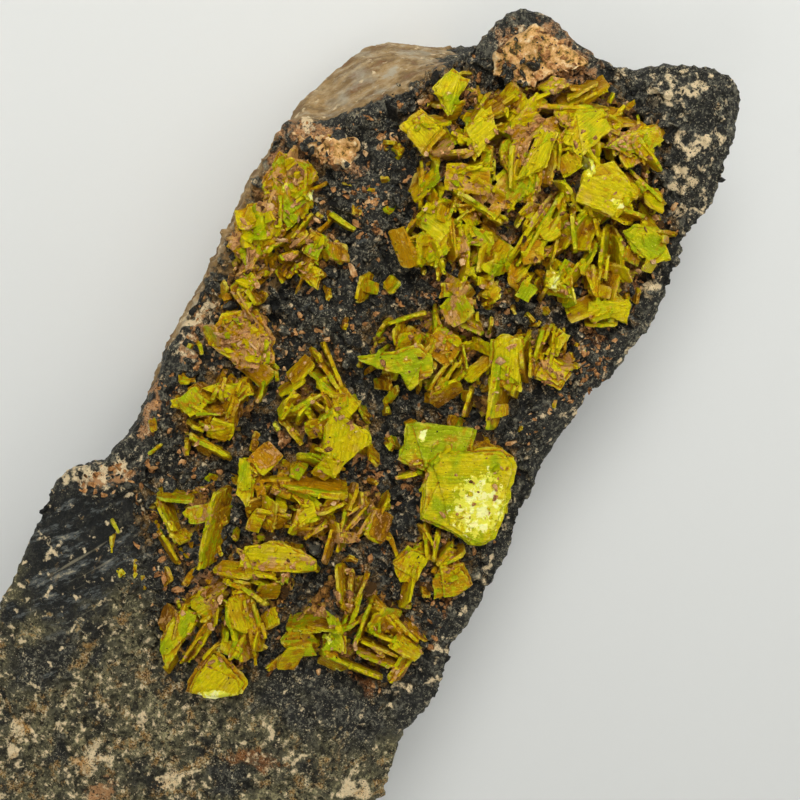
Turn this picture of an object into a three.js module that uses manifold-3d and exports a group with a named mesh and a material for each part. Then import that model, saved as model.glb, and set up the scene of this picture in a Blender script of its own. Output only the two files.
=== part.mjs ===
// Autunite specimen: thin yellow-green crystal plates on a block of dark, fine-grained rock.
// Millimetres, +Z up. X runs along the block, Y across it, and the crystals grow on the upper face.
// The block lies on its flat broken back, with the origin under the middle of its outline.
import * as THREE from "three";
import { mergeVertices } from "three/addons/utils/BufferGeometryUtils.js";
import Module from "manifold-3d";

const wasm = await Module();
wasm.setup();

// Driving dimensions of the block
const BLOCK_LENGTH = 78.8;
const BLOCK_WIDTH = 34;
const FACE_HEIGHT = 22;
const GRID_COLUMNS = 38;
const GRID_ROWS = 16;

// Walls: depths of their rings as shares of the height, and how far they draw in under the edge
const WALL_DEPTHS = [0.13, 0.36, 0.6, 0.93];
const UNDERCUT = 1.3;
const FOOT_CHAMFER = 0.8;
const FOOT_DEPTH = 0.97;
const WALL_CELL = 6;
const WALL_ROUGHNESS = 1.1;
const WALL_ROUGH_FROM = 0.33;
const SLOPE_BAND = 4;

// Relief of the upper face
const EDGE_ROUNDING = 0.6;
const PIT_EDGE = 1.25;
const RIDGE_EDGE = 1.3;
const COARSE_CELL = 5.5;
const COARSE_RELIEF = 0.6;
const FINE_CELL = 2.6;
const FINE_RELIEF = 0.45;
const WEATHERED_FROM = -15;
const WEATHERED_FALL = 0.075;

// Crusts and crystals
const GAP = 0.3;
const CRUST_LEVEL = FACE_HEIGHT + 1.3;
const CLAY_THICKNESS = 1.2;
const CLAY_LUMPS = 0.7;
const FOOT_SHARE = 0.55;
const CORNER_CUT = 0.16;
const ROOT_TAPER = 0.1;
const ROOT_LEVEL = FACE_HEIGHT - 6;
const WELD = 1e-5;

// Colour, roughness and metalness of each material
const ROCK = { color: 0x2f3132, roughness: 0.9, metalness: 0 };
const AUTUNITE = { color: 0xb4b60c, roughness: 0.38, metalness: 0 };
const CLAY = { color: 0xb08457, roughness: 0.95, metalness: 0 };

// Corners of the upper face between which its walls slope outwards
const NORTH_WEST_CORNER = [-10.3, 14.5];
const NORTH_CORNER = [20, 15.4];
const NORTH_EAST_CORNER = [34.8, 5];

// Outline of the upper face: its south and north edges from west to east, its ends from south to north
const SOUTH_EDGE = [
  [-36.2, -14.4], [-31.5, -15.6], [-27, -16.4], [-22.3, -17], [-19.5, -16.9], [-17, -15.85],
  [-14.5, -16.75], [-13, -16.9], [-9.3, -16], [-5, -16.15], [0, -15.9], [3, -15], [8, -14.8],
  [12.5, -15], [16.5, -16.15], [20, -16.35], [23.5, -16.2], [26.5, -15.3], [30.7, -15.65],
  [35, -14.75], [38.3, -13.6],
];
const NORTH_EDGE = [
  [-37.6, 12.6], [-33.4, 14.4], [-29, 14.9], [-24.5, 15.8], [-18, 16.6], [-12, 17], [-10.9, 16],
  NORTH_WEST_CORNER, [-6, 13.5], [0, 14.35], [6.5, 14.55], [13, 15.25], NORTH_CORNER, [21.4, 12.3],
  [24.2, 10.2], [28.6, 7.2], [32, 5.6], NORTH_EAST_CORNER, [35.8, 4.1],
];
const WEST_END = [SOUTH_EDGE[0], [-37.2, -10], [-37, -5], [-39.2, -0.6], [-39.4, 5], NORTH_EDGE[0]];
const EAST_END = [
  SOUTH_EDGE.at(-1), [39.4, -12], [39, -10], [37.4, -7], [35.8, -5.3], [35.5, -3], [35.9, 0.5], [36.25, 3],
  NORTH_EDGE.at(-1),
];

// Walls that slope outwards: both ends of the edge, reach, depth there as a share of the height, and how
// far from each end the full reach is gained, as shares of the edge
const SLOPES = [
  { from: NORTH_WEST_CORNER, to: NORTH_CORNER, reach: 0.5, depth: 0.3, start: 0.125, end: 0.17 },
  { from: NORTH_CORNER, to: NORTH_EAST_CORNER, reach: 3.9, depth: 0.56, start: 0.09, end: 0.62 },
];

// Flat broken faces of the walls: a point of each plane, then its outward direction
const BREAKS = [
  [-37.6, -2, 10, -0.93, -0.1, -0.35], [-34, -13.4, 9, -0.6, -0.75, -0.28],
  [-13, -15.3, 8, -0.1, -0.93, -0.35], [17, -14.7, 8, 0.1, -0.95, -0.3],
  [36.6, -12, 9, 0.75, -0.6, -0.3], [34.6, -1.5, 9, 0.92, 0.1, -0.38],
  [-27, 14.6, 9, -0.18, 0.93, -0.33], [3, 12.6, 4, 0.04, 0.96, -0.27],
];

// Pits in the upper face: x, y, radius along x, radius along y, depth
const PITS = [
  [5, -1.4, 2.6, 2.8, 1.7], [1.1, 2.8, 1.6, 1.3, 1.2], [-0.4, 7, 1.8, 1.7, 1.3],
  [5.8, 9.6, 1.4, 1.2, 0.9], [8.5, 9.2, 2.2, 1.8, 1.3], [13.5, 2.4, 4, 2.8, 1.5],
  [11.2, -2.4, 2, 2, 1.1], [-10, 3.2, 2.6, 1.8, 1.2], [-10.4, -3.2, 2.2, 2.6, 1.3],
  [-12.6, -2, 1.3, 1.6, 1.2], [-9.9, 7.9, 1.2, 1.9, 1.1], [-6, -11.6, 1.6, 1, 0.8],
  [13.4, 7, 2.2, 1.6, 0.9],
];

// Low ridges on the upper face: x and y of each end, half width, height
const RIDGES = [
  [-12, 15.6, -8.6, 12.8, 1.4, 0.9], [17.2, 8, 18.8, 10.6, 1.3, 1], [22.5, 10.6, 32, 4.6, 1.9, 1],
  [7, -12.6, 12.5, -13.4, 1.8, 0.7], [36.4, -8.6, 38, -12, 1.8, 0.6], [24, -15, 33, -14.6, 1.5, 0.6],
  [-16.5, 13, -16, 6.5, 1.6, 0.5],
];

// Crystal groups, each grown together on one crust, whose outline comes first.
// An upright crystal: x, y and height above the face of both ends of its upper edge, thickness, depth
// below that edge, and lean in degrees to the left of the edge's direction.
// A lying crystal: height of its middle above the face, rise along x, rise along y, thickness, outline.
const GROUPS = {
  autunite_west_rosette: {
    crust: [
      [-19.8, 3], [-16, 4], [-12.3, 2.8], [-8.6, 1.2], [-8.4, -2.2], [-11, -2.6], [-15, -2.8],
      [-19.4, -2.4],
    ],
    upright: [
      [-20.5, 1.9, 1.4, -15, 1.6, 2.3, 0.7, 3.6, 14], [-20.5, 1, 1.1, -15.6, 1.1, 2.1, 0.6, 3.4, -12],
      [-14.4, 1.3, 3.1, -17.8, -2.1, 2.3, 1, 4.4, -24], [-13.3, 0, 2.8, -17.5, -3.4, 1.9, 0.9, 4, 0],
      [-12.8, -0.6, 2.5, -15.4, -2.8, 1.9, 0.9, 4, 16],
      [-11.8, 0.4, 2.2, -11.3, -2.2, 1.7, 0.8, 3.6, 0],
      [-12.6, 0.6, 2.6, -12.9, 2.5, 1.9, 0.9, 3.4, 0], [-13.2, 1.6, 2.4, -16.4, 3.7, 1.6, 0.7, 3.4, 8],
    ],
    lying: [
      [1.7, 0.06, -0.1, 0.7, [[-21.2, 2.4], [-18.5, 2.3], [-16, 2.5], [-16.2, 3.6], [-18.2, 4.2],
        [-20.2, 3.7]]],
      [2, 0.12, 0.05, 1, [[-21.9, 0], [-21.1, -1.9], [-20, -3.2], [-18.9, -3.2], [-18.4, -1.8],
        [-18, 0], [-20.3, 0.3]]],
      [2.5, 0.14, 0.1, 0.7, [[-11.2, 1.5], [-10.5, -0.3], [-9.5, -2.3], [-8.6, -3.5], [-7.9, -3.2],
        [-7.8, -1], [-8.3, 0.5], [-9.6, 1.8]]],
    ],
  },
  autunite_north_west_books: {
    crust: [[-13.4, 4.8], [-12.6, 8.4], [-10, 10], [-8.2, 7.6], [-7, 6.4], [-9.4, 4.6]],
    upright: [
      [-13.4, 4.2, 2, -7, 6.3, 3, 1.4, 4, 18], [-13.5, 5.4, 1.7, -11.9, 8.2, 2, 0.9, 3.4, -14],
      [-12.3, 6.5, 1.9, -10, 9.8, 2.3, 0.9, 3.6, 10], [-10, 9.6, 2, -8.7, 7, 1.7, 0.8, 3.4, -8],
    ],
    lying: [],
  },
  autunite_south_west_fan: {
    crust: [
      [-14.8, -4.2], [-12.6, -4.4], [-7.6, -5.4], [-8, -9], [-9.6, -13.4], [-13.6, -12.8], [-14, -8],
    ],
    upright: [
      [-14, -3.8, 1.8, -12.4, -6.4, 2, 0.6, 3.4, -12], [-10.6, -7, 2.7, -7.5, -4.6, 2.4, 0.7, 4, 10],
      [-13.9, -7, 2.7, -13.3, -12.8, 2.5, 1.2, 4.2, 10],
      [-8.2, -8.3, 2.5, -12.5, -9.1, 2.3, 0.7, 4, -6],
      [-8.3, -7.5, 2.4, -11.6, -8.2, 2.1, 0.5, 3.8, 4],
      [-12.6, -9.3, 2.7, -12.2, -13, 2.5, 0.7, 4, -6],
      [-11.6, -9.2, 2.6, -11.2, -13.3, 2.2, 0.6, 4, 4],
      [-10.6, -9.3, 2.5, -10.2, -13.4, 2, 0.8, 3.8, 8],
      [-13.5, -12.8, 2.2, -9.8, -13.7, 1.6, 0.8, 3.6, 0],
      [-9.8, -13.7, 1.7, -8.2, -8.6, 2.4, 0.8, 3.8, -10],
    ],
    lying: [
      [1.5, 0.05, 0.1, 0.6, [[-15.5, -5.4], [-14.9, -4], [-13.4, -4.2], [-13.4, -6], [-14.4, -7]]],
      [2.4, -0.05, 0.1, 0.5, [[-13.7, -7], [-13, -8.6], [-11.4, -7.8], [-10.8, -5.6], [-12.2, -6.8]]],
    ],
  },
  autunite_south_fan: {
    crust: [[-6, -9.6], [-4, -8.8], [-2, -9.6], [-2, -12], [-4, -13.8], [-5.8, -12.6]],
    upright: [
      [-3.8, -10.6, 2.1, -1.7, -8.8, 2.4, 0.5, 3.6, 8],
      [-3.7, -11, 2.1, -1.5, -10.1, 2.4, 0.5, 3.6, 4],
      [-3.6, -11.3, 2, -1.6, -11.6, 2.2, 0.5, 3.6, -4],
      [-3.7, -11.6, 1.9, -1.8, -12.8, 2, 0.5, 3.4, -8],
    ],
    lying: [
      [2, 0.1, 0.06, 0.6, [[-6.3, -9.6], [-5.6, -10.7], [-3.4, -10.6], [-3.6, -8.6], [-5.2, -8.2]]],
      [1.7, 0.04, 0.14, 0.6, [[-6.2, -12.4], [-5.1, -13.9], [-3.7, -14.5], [-2.7, -13], [-3.5, -11.5],
        [-5, -11.6]]],
    ],
  },
  autunite_big_plates: {
    crust: [[0.2, -12.6], [0, -9.4], [2.6, -5.2], [5, -5], [6, -8.4], [6, -12], [3, -12.8]],
    upright: [[0.4, -5.2, 1.6, 2, -6.8, 1.9, 1.1, 3.4, 6]],
    lying: [
      [3, 0.06, -0.05, 1.1, [[-0.8, -12.8], [0.2, -13.7], [2.5, -13.4], [5, -12.6], [6.2, -12.1],
        [6.3, -10.8], [4, -7], [2.5, -6.9], [-0.9, -8.4], [-0.7, -11.5]]],
      [2.6, 0.05, 0.1, 0.8, [[2.3, -6.8], [2.1, -4.7], [4.8, -3.9], [5.3, -4.5], [6.9, -8.4],
        [5.3, -8.9]]],
    ],
  },
  autunite_centre_books: {
    crust: [
      [-6.6, 3.8], [-3.8, 4.8], [-3, 1.6], [-2.4, -2.8], [-1.4, -5.2], [-4.6, -5.4], [-6.6, -3.8],
      [-6.8, -0.8],
    ],
    upright: [
      [-4.5, 2.5, 3.1, -2.6, -3, 2.6, 1.3, 4.4, -14], [-7.2, -1.6, 1.7, -5.1, -2.4, 2, 0.7, 3.2, 0],
      [-7, -4.3, 1.9, -3.4, -3.1, 2.3, 0.9, 3.6, 10], [-5, -4, 1.9, -2.2, -4.5, 2.2, 0.6, 3.4, 0],
      [-5.4, -5, 1.6, -2.4, -5.1, 1.9, 0.5, 3.2, 6], [-4.6, -5.8, 1.6, -0.9, -5.7, 1.8, 0.6, 3.2, -6],
    ],
    lying: [
      [2.1, 0.1, 0.04, 0.7, [[-7, 3.4], [-5, 3.9], [-3.7, 5], [-3.9, 5.8], [-6.6, 4.6]]],
      [1.9, 0.05, 0.08, 0.5, [[-7, -0.4], [-5.3, -1.6], [-4, -1.6], [-3.6, -0.2], [-5, -0.1]]],
    ],
  },
  autunite_centre_star: {
    crust: [[-1, -0.6], [-0.6, 3.6], [1.6, 5.4], [4.6, 4.6], [6, 4.2], [3.9, 1.4], [2.6, -1.6]],
    upright: [
      [3.7, 1.2, 2.8, 4.3, 4.9, 2.3, 0.6, 3.8, 6], [4, 1.2, 2.7, 5.6, 4.5, 2.2, 0.5, 3.6, 0],
      [4.2, 1.2, 2.5, 7, 4.7, 2, 0.5, 3.6, -6], [0.1, 4.9, 2.6, 3.5, 2.8, 2.9, 1.3, 4, 12],
      [1.5, 5.4, 2.4, 3.7, 4.4, 2.5, 0.7, 3.6, -6], [-0.9, 2, 1.8, -0.2, 3.9, 1.8, 0.6, 3.2, 0],
    ],
    lying: [
      [2.7, 0.12, 0.05, 0.8, [[-1.8, -1.3], [-0.5, -1.4], [2, -2.3], [2.7, -1.8], [2.9, 0.5], [3, 2.1],
        [1, 1.2], [-1.9, 0.2]]],
    ],
  },
  autunite_north_blades: {
    crust: [[-5.4, 8.4], [-4.6, 10.4], [-2.4, 11.6], [0.2, 9.8], [2, 7], [1, 6.4], [-3.2, 7.2]],
    upright: [
      [-4.2, 6.3, 2.5, -4.3, 10, 2.2, 1.3, 3.8, -10], [-6, 9.2, 1.6, -4.9, 9.8, 1.7, 0.6, 3, 0],
      [0.2, 6.6, 2.2, 2.2, 7, 2.3, 0.9, 3.4, 0],
    ],
    lying: [
      [1.7, 0.1, -0.1, 0.6, [[-3.5, 12.3], [-3, 11.3], [-2.2, 10], [-1.2, 10.3], [-1.4, 11.3],
        [-2.9, 12.5]]],
      [1.9, 0.06, 0.1, 0.6, [[-0.95, 10.7], [-0.8, 8.6], [0.8, 7.1], [1.2, 7.8], [0.4, 9.6]]],
    ],
  },
  autunite_north_mass: {
    crust: [
      [3, 7.4], [2.6, 11.6], [6.6, 12.8], [9.4, 13.6], [13, 14.2], [17.4, 13.8], [17, 11.2],
      [13.2, 10.2], [13.6, 8], [11, 7.2], [9, 10.8], [6.6, 11.2], [5.6, 8.4],
    ],
    upright: [
      [9.8, 12.4, 2.4, 12.3, 10.7, 2.5, 0.6, 3.4, 0], [12.3, 10.6, 2.5, 15.2, 10.2, 2.2, 0.6, 3.4, 6],
      [3, 8, 1.8, 4.6, 10.8, 2, 0.9, 3.2, 10],
    ],
    lying: [
      [1.8, 0.04, 0.05, 0.9, [[2, 9], [3.2, 7.2], [5, 8], [6.2, 10.4], [5, 12.3], [2.4, 12]]],
      [1.9, 0.06, 0.12, 0.6, [[6.2, 11.4], [8.4, 11], [8.9, 12.2], [6.8, 12.8]]],
      [2, 0.03, 0.1, 0.8, [[9, 12.6], [10.4, 11.4], [12.6, 11.2], [14, 13], [13, 14.6], [9.6, 14.4]]],
      [1.9, -0.05, 0.1, 0.7, [[12.9, 11.2], [15.4, 10.4], [17.8, 12.2], [17.5, 14.4], [14.9, 14.4]]],
      [1.7, 0.1, -0.1, 0.6, [[10, 7], [11.6, 7.4], [11.6, 8.9], [10.2, 8.6]]],
      [1.8, -0.08, -0.1, 0.6, [[11.9, 8], [13.8, 8.1], [13.7, 9.6], [11.8, 9.4]]],
    ],
  },
  autunite_middle_plates: {
    crust: [[7.6, 1.2], [10.2, 1.2], [13.5, -2.4], [13.7, -5.4], [9.6, -5.8], [7.6, -4.6], [8, -1.8]],
    upright: [
      [9, 1.4, 1.9, 10.4, 1.3, 2.1, 0.5, 3.4, 6], [10.4, 1.2, 2.1, 12.7, -1, 2, 0.5, 3.4, 6],
      [11.4, -2.4, 1.7, 13.1, -1.5, 1.9, 0.5, 3.2, 0], [13, -2.2, 2.4, 13.3, -5.6, 2.2, 0.7, 3.6, -4],
      [7.2, -4, 1.9, 10.6, -4.1, 2, 0.5, 3.2, 8], [7.4, -4.8, 1.7, 10.7, -4.9, 1.9, 0.4, 3.2, 0],
      [8.3, -5.4, 1.8, 10.6, -5.9, 2, 0.7, 3.4, -8],
    ],
    lying: [
      [2.8, 0.04, -0.12, 0.8, [[7, 1.8], [7.2, 0.2], [7.7, -1.5], [7, -2.8], [8.9, -3.6], [10, -2.8],
        [10.3, -1.8], [9.2, -0.7]]],
    ],
  },
  autunite_south_east_books: {
    crust: [
      [8, -9], [8.6, -7], [13, -6.4], [14.6, -9.2], [16.4, -9.6], [16, -11], [13.6, -12.4],
      [12.4, -10],
    ],
    upright: [
      [7, -9.4, 2.8, 13.6, -6.6, 3.1, 1.4, 4.2, 18], [7, -7.3, 2.4, 9.5, -6.7, 2.2, 0.7, 3.6, 6],
      [13.4, -9.7, 2.5, 16.4, -9.1, 2.4, 1.1, 3.8, 6], [14.2, -11.4, 1.7, 14.8, -13.2, 1.6, 0.6, 3, 0],
    ],
    lying: [
      [2.6, 0.06, 0.1, 0.8, [[10.6, -8.9], [11, -10.1], [14.6, -8.1], [14.2, -7], [13.4, -6.4],
        [11.5, -7.4]]],
      [1.9, 0.04, 0.08, 0.6, [[14.4, -10.2], [14.6, -11.2], [16.6, -11.2], [16.6, -10]]],
      [2, 0, 0.05, 1.1, [[12.6, -10.4], [12.7, -12.4], [14.2, -12.5], [14.3, -10.4]]],
    ],
  },
  autunite_east_mass: {
    crust: [
      [15.2, 2], [18, 3], [22.6, 5], [24.6, 7.2], [29, 6.6], [28.6, 3.4], [32, -0.4], [33.6, -4.4],
      [32.4, -9], [28.6, -10.8], [26.4, -13.6], [24.6, -13.8], [21.4, -12.6], [19.6, -13.8], [18, -12],
      [18.6, -8.4], [17.6, -6], [15.6, -5], [14.8, -2.2], [17, -0.8],
    ],
    upright: [
      [16.2, 3.6, 2.2, 18.9, 3.2, 2.6, 0.8, 3.8, 8], [18.9, 3.2, 2.6, 22.2, 5, 2.8, 0.8, 3.8, 0],
      [15, 1.5, 1.9, 16.5, 2.4, 2.2, 0.7, 3.4, 0], [19.2, 2.2, 2.7, 21.4, 2.6, 3, 0.6, 4, -8],
      [19.3, 1.2, 2.9, 21, 1.4, 3.2, 0.6, 4, 0], [21.7, 2.2, 3.6, 21.6, -3, 3.5, 0.8, 4.8, 8],
      [18.4, -4.2, 3, 24.8, -4.3, 3.9, 0.6, 4.8, 10], [18.6, -5, 2.9, 25.6, -5, 3.9, 0.6, 4.8, 4],
      [18.8, -5.9, 2.7, 25, -5.9, 3.8, 0.6, 4.6, -6], [17.7, -11.8, 2, 19, -14, 2, 1, 3.6, -8],
      [19.8, -11.4, 2.6, 22.2, -10.5, 2.9, 0.7, 4, 0], [21.8, -10.5, 3, 24.7, -9.1, 3.3, 0.8, 4.4, 10],
      [21.8, -12.8, 2.5, 25.2, -10.4, 3, 0.8, 4.2, -8],
      [21.8, -8.4, 3.2, 24.6, -6.5, 3.6, 0.8, 4.6, 4], [23.4, -1.9, 3.7, 27.4, 0.3, 3.8, 0.9, 4.8, 14],
      [26.8, 0.9, 3.3, 30, 0.1, 3.1, 0.8, 4.4, -8], [30, 0, 2.9, 32.4, -4.6, 2.7, 0.8, 4.2, 12],
      [30.7, -1.9, 2.6, 34, -4.6, 2.3, 1, 4, -14], [23, 5, 3, 25, 2, 3.3, 0.9, 4.4, 8],
      [22.6, 2.4, 3.3, 24.4, 0.8, 3.5, 0.7, 4.6, -6], [26.4, -8, 3.5, 27.2, -11.8, 2.9, 0.9, 4.4, 12],
      [28, -9.6, 3.1, 29.4, -7.4, 3.2, 0.7, 4.4, 0],
    ],
    lying: [
      [2.1, 0.05, 0.06, 0.9, [[14.2, -1.4], [15.2, -1], [16.2, -2.2], [15.2, -2.9]]],
      [2.4, 0.05, -0.1, 0.6, [[16.4, -2.1], [18.2, -3.7], [18.8, -3.3], [17.1, -1.9]]],
      [2.5, 0.1, 0.05, 0.6, [[18.6, -0.9], [19.2, -3], [20.2, -2.4], [20, -0.8]]],
      [2.5, 0.1, -0.06, 0.8, [[17.3, 0.4], [19.6, 0.2], [20, 3], [18, 2.8]]],
      [1.9, 0.04, 0.1, 0.6, [[15.8, -3.8], [15.9, -5], [17, -5], [17.2, -3.9]]],
      [2.8, 0.06, 0.1, 0.6, [[18.8, -7.5], [19, -8.6], [20.2, -8.5], [20, -7.3]]],
      [2.3, 0.08, 0.06, 0.6, [[17, -6], [17.1, -7.2], [18.4, -7.3], [18.6, -6]]],
      [2.5, 0.1, 0.12, 0.7, [[18.6, -11.4], [19, -12.9], [19.4, -14.3], [20.8, -13.8], [21, -13.3],
        [19.4, -11]]],
      [3.6, 0, 0.1, 0.8, [[25.4, -6.2], [25.8, -9.6], [28.2, -10], [29.4, -7.2], [27.6, -5.6]]],
      [2.6, -0.05, 0.16, 0.8, [[24.2, -12], [24.4, -14], [25.2, -14.7], [26.5, -13.3], [26.7, -12.3],
        [26, -11], [25.2, -10.6]]],
      [2.8, -0.1, 0.1, 0.8, [[30, -6], [31, -9.3], [32.7, -9.8], [33.4, -8.8], [31.8, -7]]],
      [3.8, 0.03, -0.06, 0.7, [[24.6, -1.7], [26.4, -3], [29.2, -2.4], [29, -1.2]]],
      [3.4, -0.06, 0.05, 1.1, [[28.5, -5], [31.4, -6], [32.3, -4.6], [31, -2.8], [28.8, -3.2]]],
      [3.5, -0.05, 0.05, 0.7, [[24.6, 1.6], [27.1, 1.3], [28.4, 2.6], [26, 3.5]]],
      [2.9, 0.04, -0.1, 0.8, [[22.8, 5.4], [25.2, 5], [25.6, 7.2], [23.6, 7.8]]],
      [2.6, -0.06, -0.06, 0.7, [[26.2, 5], [29.2, 5.1], [29.2, 6.6], [27.4, 7.1]]],
    ],
  },
};

// Clay crusts, by outline
const CLAY_CRUSTS = {
  clay_crust_east_end: [
    [30.4, 3.6], [31.2, 1], [33.4, -0.8], [34.8, -2.4], [35, 0.6], [35.2, 2.8], [33.6, 3.6], [32, 4.4],
  ],
  clay_crust_north_edge: [[18.4, 11.4], [19.4, 9.4], [21, 9.8], [20.2, 12.2], [19.2, 14], [18.4, 13.2]],
};

function hash(i, j, k) {
  const wave = Math.sin(i * 127.1 + j * 311.7 + k * 74.7) * 43758.5453;
  return wave - Math.floor(wave);
}

function smooth(t) {
  const s = Math.min(Math.max(t, 0), 1);
  return s * s * (3 - 2 * s);
}

// Smooth noise from -1 to 1 on a lattice of the given cell
function noise(x, y, z, cell) {
  const at = [x, y, z].map((value) => value / cell);
  const base = at.map(Math.floor);
  const [u, v, w] = at.map((value, axis) => smooth(value - base[axis]));
  const corner = (i, j, k) => hash(base[0] + i, base[1] + j, base[2] + k);
  const row = (j, k) => THREE.MathUtils.lerp(corner(0, j, k), corner(1, j, k), u);
  const layer = (k) => THREE.MathUtils.lerp(row(0, k), row(1, k), v);
  return 2 * THREE.MathUtils.lerp(layer(0), layer(1), w) - 1;
}

// Point at the share t of the length of a line of points
function along(points, t) {
  const lengths = points.slice(1).map(([x, y], i) => Math.hypot(x - points[i][0], y - points[i][1]));
  let rest = t * lengths.reduce((sum, length) => sum + length, 0);
  let i = 0;
  while (i < lengths.length - 1 && rest > lengths[i]) {
    rest -= lengths[i];
    i += 1;
  }
  const share = Math.min(rest / lengths[i], 1);
  return [0, 1].map((axis) => THREE.MathUtils.lerp(points[i][axis], points[i + 1][axis], share));
}

// Position of a grid point of the upper face, blended between the four edges
function facePoint(column, row) {
  const u = column / GRID_COLUMNS;
  const v = row / GRID_ROWS;
  const south = along(SOUTH_EDGE, u);
  const north = along(NORTH_EDGE, u);
  const west = along(WEST_END, v);
  const east = along(EAST_END, v);
  return [0, 1].map((axis) => {
    const corners =
      (1 - u) * (1 - v) * SOUTH_EDGE[0][axis] + u * (1 - v) * SOUTH_EDGE.at(-1)[axis] +
      (1 - u) * v * NORTH_EDGE[0][axis] + u * v * NORTH_EDGE.at(-1)[axis];
    return (1 - v) * south[axis] + v * north[axis] + (1 - u) * west[axis] + u * east[axis] - corners;
  });
}

function distanceToLine(x, y, x1, y1, x2, y2) {
  const length2 = (x2 - x1) ** 2 + (y2 - y1) ** 2;
  const share = Math.min(Math.max(((x - x1) * (x2 - x1) + (y - y1) * (y2 - y1)) / length2, 0), 1);
  return { distance: Math.hypot(x - x1 - share * (x2 - x1), y - y1 - share * (y2 - y1)), share };
}

// Height of the upper face
function faceHeight(x, y, edgeSteps) {
  let height = FACE_HEIGHT;
  height += COARSE_RELIEF * noise(x, y, COARSE_CELL / 2, COARSE_CELL);
  height += FINE_RELIEF * noise(x, y, FINE_CELL / 2, FINE_CELL);
  height -= WEATHERED_FALL * Math.max(WEATHERED_FROM - x, 0);
  for (const [px, py, rx, ry, depth] of PITS) {
    height -= depth * smooth(PIT_EDGE - Math.hypot((x - px) / rx, (y - py) / ry));
  }
  for (const [x1, y1, x2, y2, width, rise] of RIDGES) {
    height += rise * smooth(RIDGE_EDGE - distanceToLine(x, y, x1, y1, x2, y2).distance / width);
  }
  return edgeSteps === 0 ? height - EDGE_ROUNDING : height;
}

// Grid of the upper face: columns of points with their heights
function faceGrid() {
  const grid = [];
  for (let column = 0; column <= GRID_COLUMNS; column += 1) {
    grid.push([]);
    for (let row = 0; row <= GRID_ROWS; row += 1) {
      const [x, y] = facePoint(column, row);
      const edgeSteps = Math.min(column, row, GRID_COLUMNS - column, GRID_ROWS - row);
      grid[column].push(new THREE.Vector3(x, y, faceHeight(x, y, edgeSteps)));
    }
  }
  const box = new THREE.Box3().setFromPoints(grid.flat());
  const size = box.getSize(new THREE.Vector3());
  const middle = box.getCenter(new THREE.Vector3());
  for (const point of grid.flat()) {
    point.x = ((point.x - middle.x) * BLOCK_LENGTH) / size.x;
    point.y = ((point.y - middle.y) * BLOCK_WIDTH) / size.y;
  }
  return grid;
}

const GRID = faceGrid();

// Border of the grid, counter-clockwise from the south-west corner
function border(grid) {
  const ring = [];
  for (let column = 0; column < GRID_COLUMNS; column += 1) ring.push(grid[column][0]);
  for (let row = 0; row < GRID_ROWS; row += 1) ring.push(grid[GRID_COLUMNS][row]);
  for (let column = GRID_COLUMNS; column > 0; column -= 1) ring.push(grid[column][GRID_ROWS]);
  for (let row = GRID_ROWS; row > 0; row -= 1) ring.push(grid[0][row]);
  return ring;
}

// Closed shell under a top grid: the given rings below its border, then a flat floor
function shell(grid, rings) {
  const points = [];
  const quad = (a, b, c, d) => points.push(a, b, c, a, c, d);
  for (let column = 0; column < GRID_COLUMNS; column += 1) {
    for (let row = 0; row < GRID_ROWS; row += 1) {
      quad(grid[column][row], grid[column + 1][row], grid[column + 1][row + 1], grid[column][row + 1]);
    }
  }
  const levels = [border(grid), ...rings];
  const count = levels[0].length;
  for (let level = 0; level < rings.length; level += 1) {
    for (let i = 0; i < count; i += 1) {
      const next = (i + 1) % count;
      quad(levels[level + 1][i], levels[level + 1][next], levels[level][next], levels[level][i]);
    }
  }
  const floor = levels.at(-1);
  const outline = floor.map((point) => new THREE.Vector2(point.x, point.y));
  for (const [a, b, c] of THREE.ShapeUtils.triangulateShape(outline, [])) {
    points.push(floor[a], floor[c], floor[b]);
  }
  return new THREE.BufferGeometry().setFromPoints(points);
}

// How far a sloping wall stands out at a point of the edge: its weight there and its plan offset
function slopeAt(point, depth, { from, to, reach, depth: full, start, end }) {
  const edge = distanceToLine(point.x, point.y, ...from, ...to);
  const ends = smooth(edge.share / start) * smooth((1 - edge.share) / end);
  const weight = smooth(SLOPE_BAND - edge.distance) * ends;
  const run = new THREE.Vector2(to[0] - from[0], to[1] - from[1]).normalize();
  const offset = new THREE.Vector2(-run.y, run.x).multiplyScalar(weight * reach * smooth(depth / full));
  return { weight, offset };
}

// Ring of the wall at a depth given as a share of the height: drawn in towards the middle under the edge,
// or standing out where the wall slopes
function rockWall(ring, depth) {
  return ring.map((point) => {
    const slopes = SLOPES.map((slope) => slopeAt(point, depth, slope));
    const upright = 1 - Math.max(...slopes.map((slope) => slope.weight));
    const bumps = 1 - noise(point.x, point.y, point.z * depth, WALL_CELL);
    const rough = WALL_ROUGHNESS * smooth(depth / WALL_ROUGH_FROM) * bumps;
    const drawnIn = upright * (UNDERCUT * depth + rough + (depth > FOOT_DEPTH ? FOOT_CHAMFER : 0));
    return new THREE.Vector3(
      point.x * (1 - drawnIn / (BLOCK_LENGTH / 2)) + slopes[0].offset.x + slopes[1].offset.x,
      point.y * (1 - drawnIn / (BLOCK_WIDTH / 2)) + slopes[0].offset.y + slopes[1].offset.y,
      point.z * (1 - depth),
    );
  });
}

// Solid from a closed geometry
function solid(geometry) {
  const bare = geometry.clone();
  bare.deleteAttribute("normal");
  bare.deleteAttribute("uv");
  const merged = mergeVertices(bare, WELD);
  return new wasm.Manifold(new wasm.Mesh({
    numProp: 3,
    vertProperties: Float32Array.from(merged.attributes.position.array),
    triVerts: Uint32Array.from(merged.index.array),
  }));
}

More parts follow.
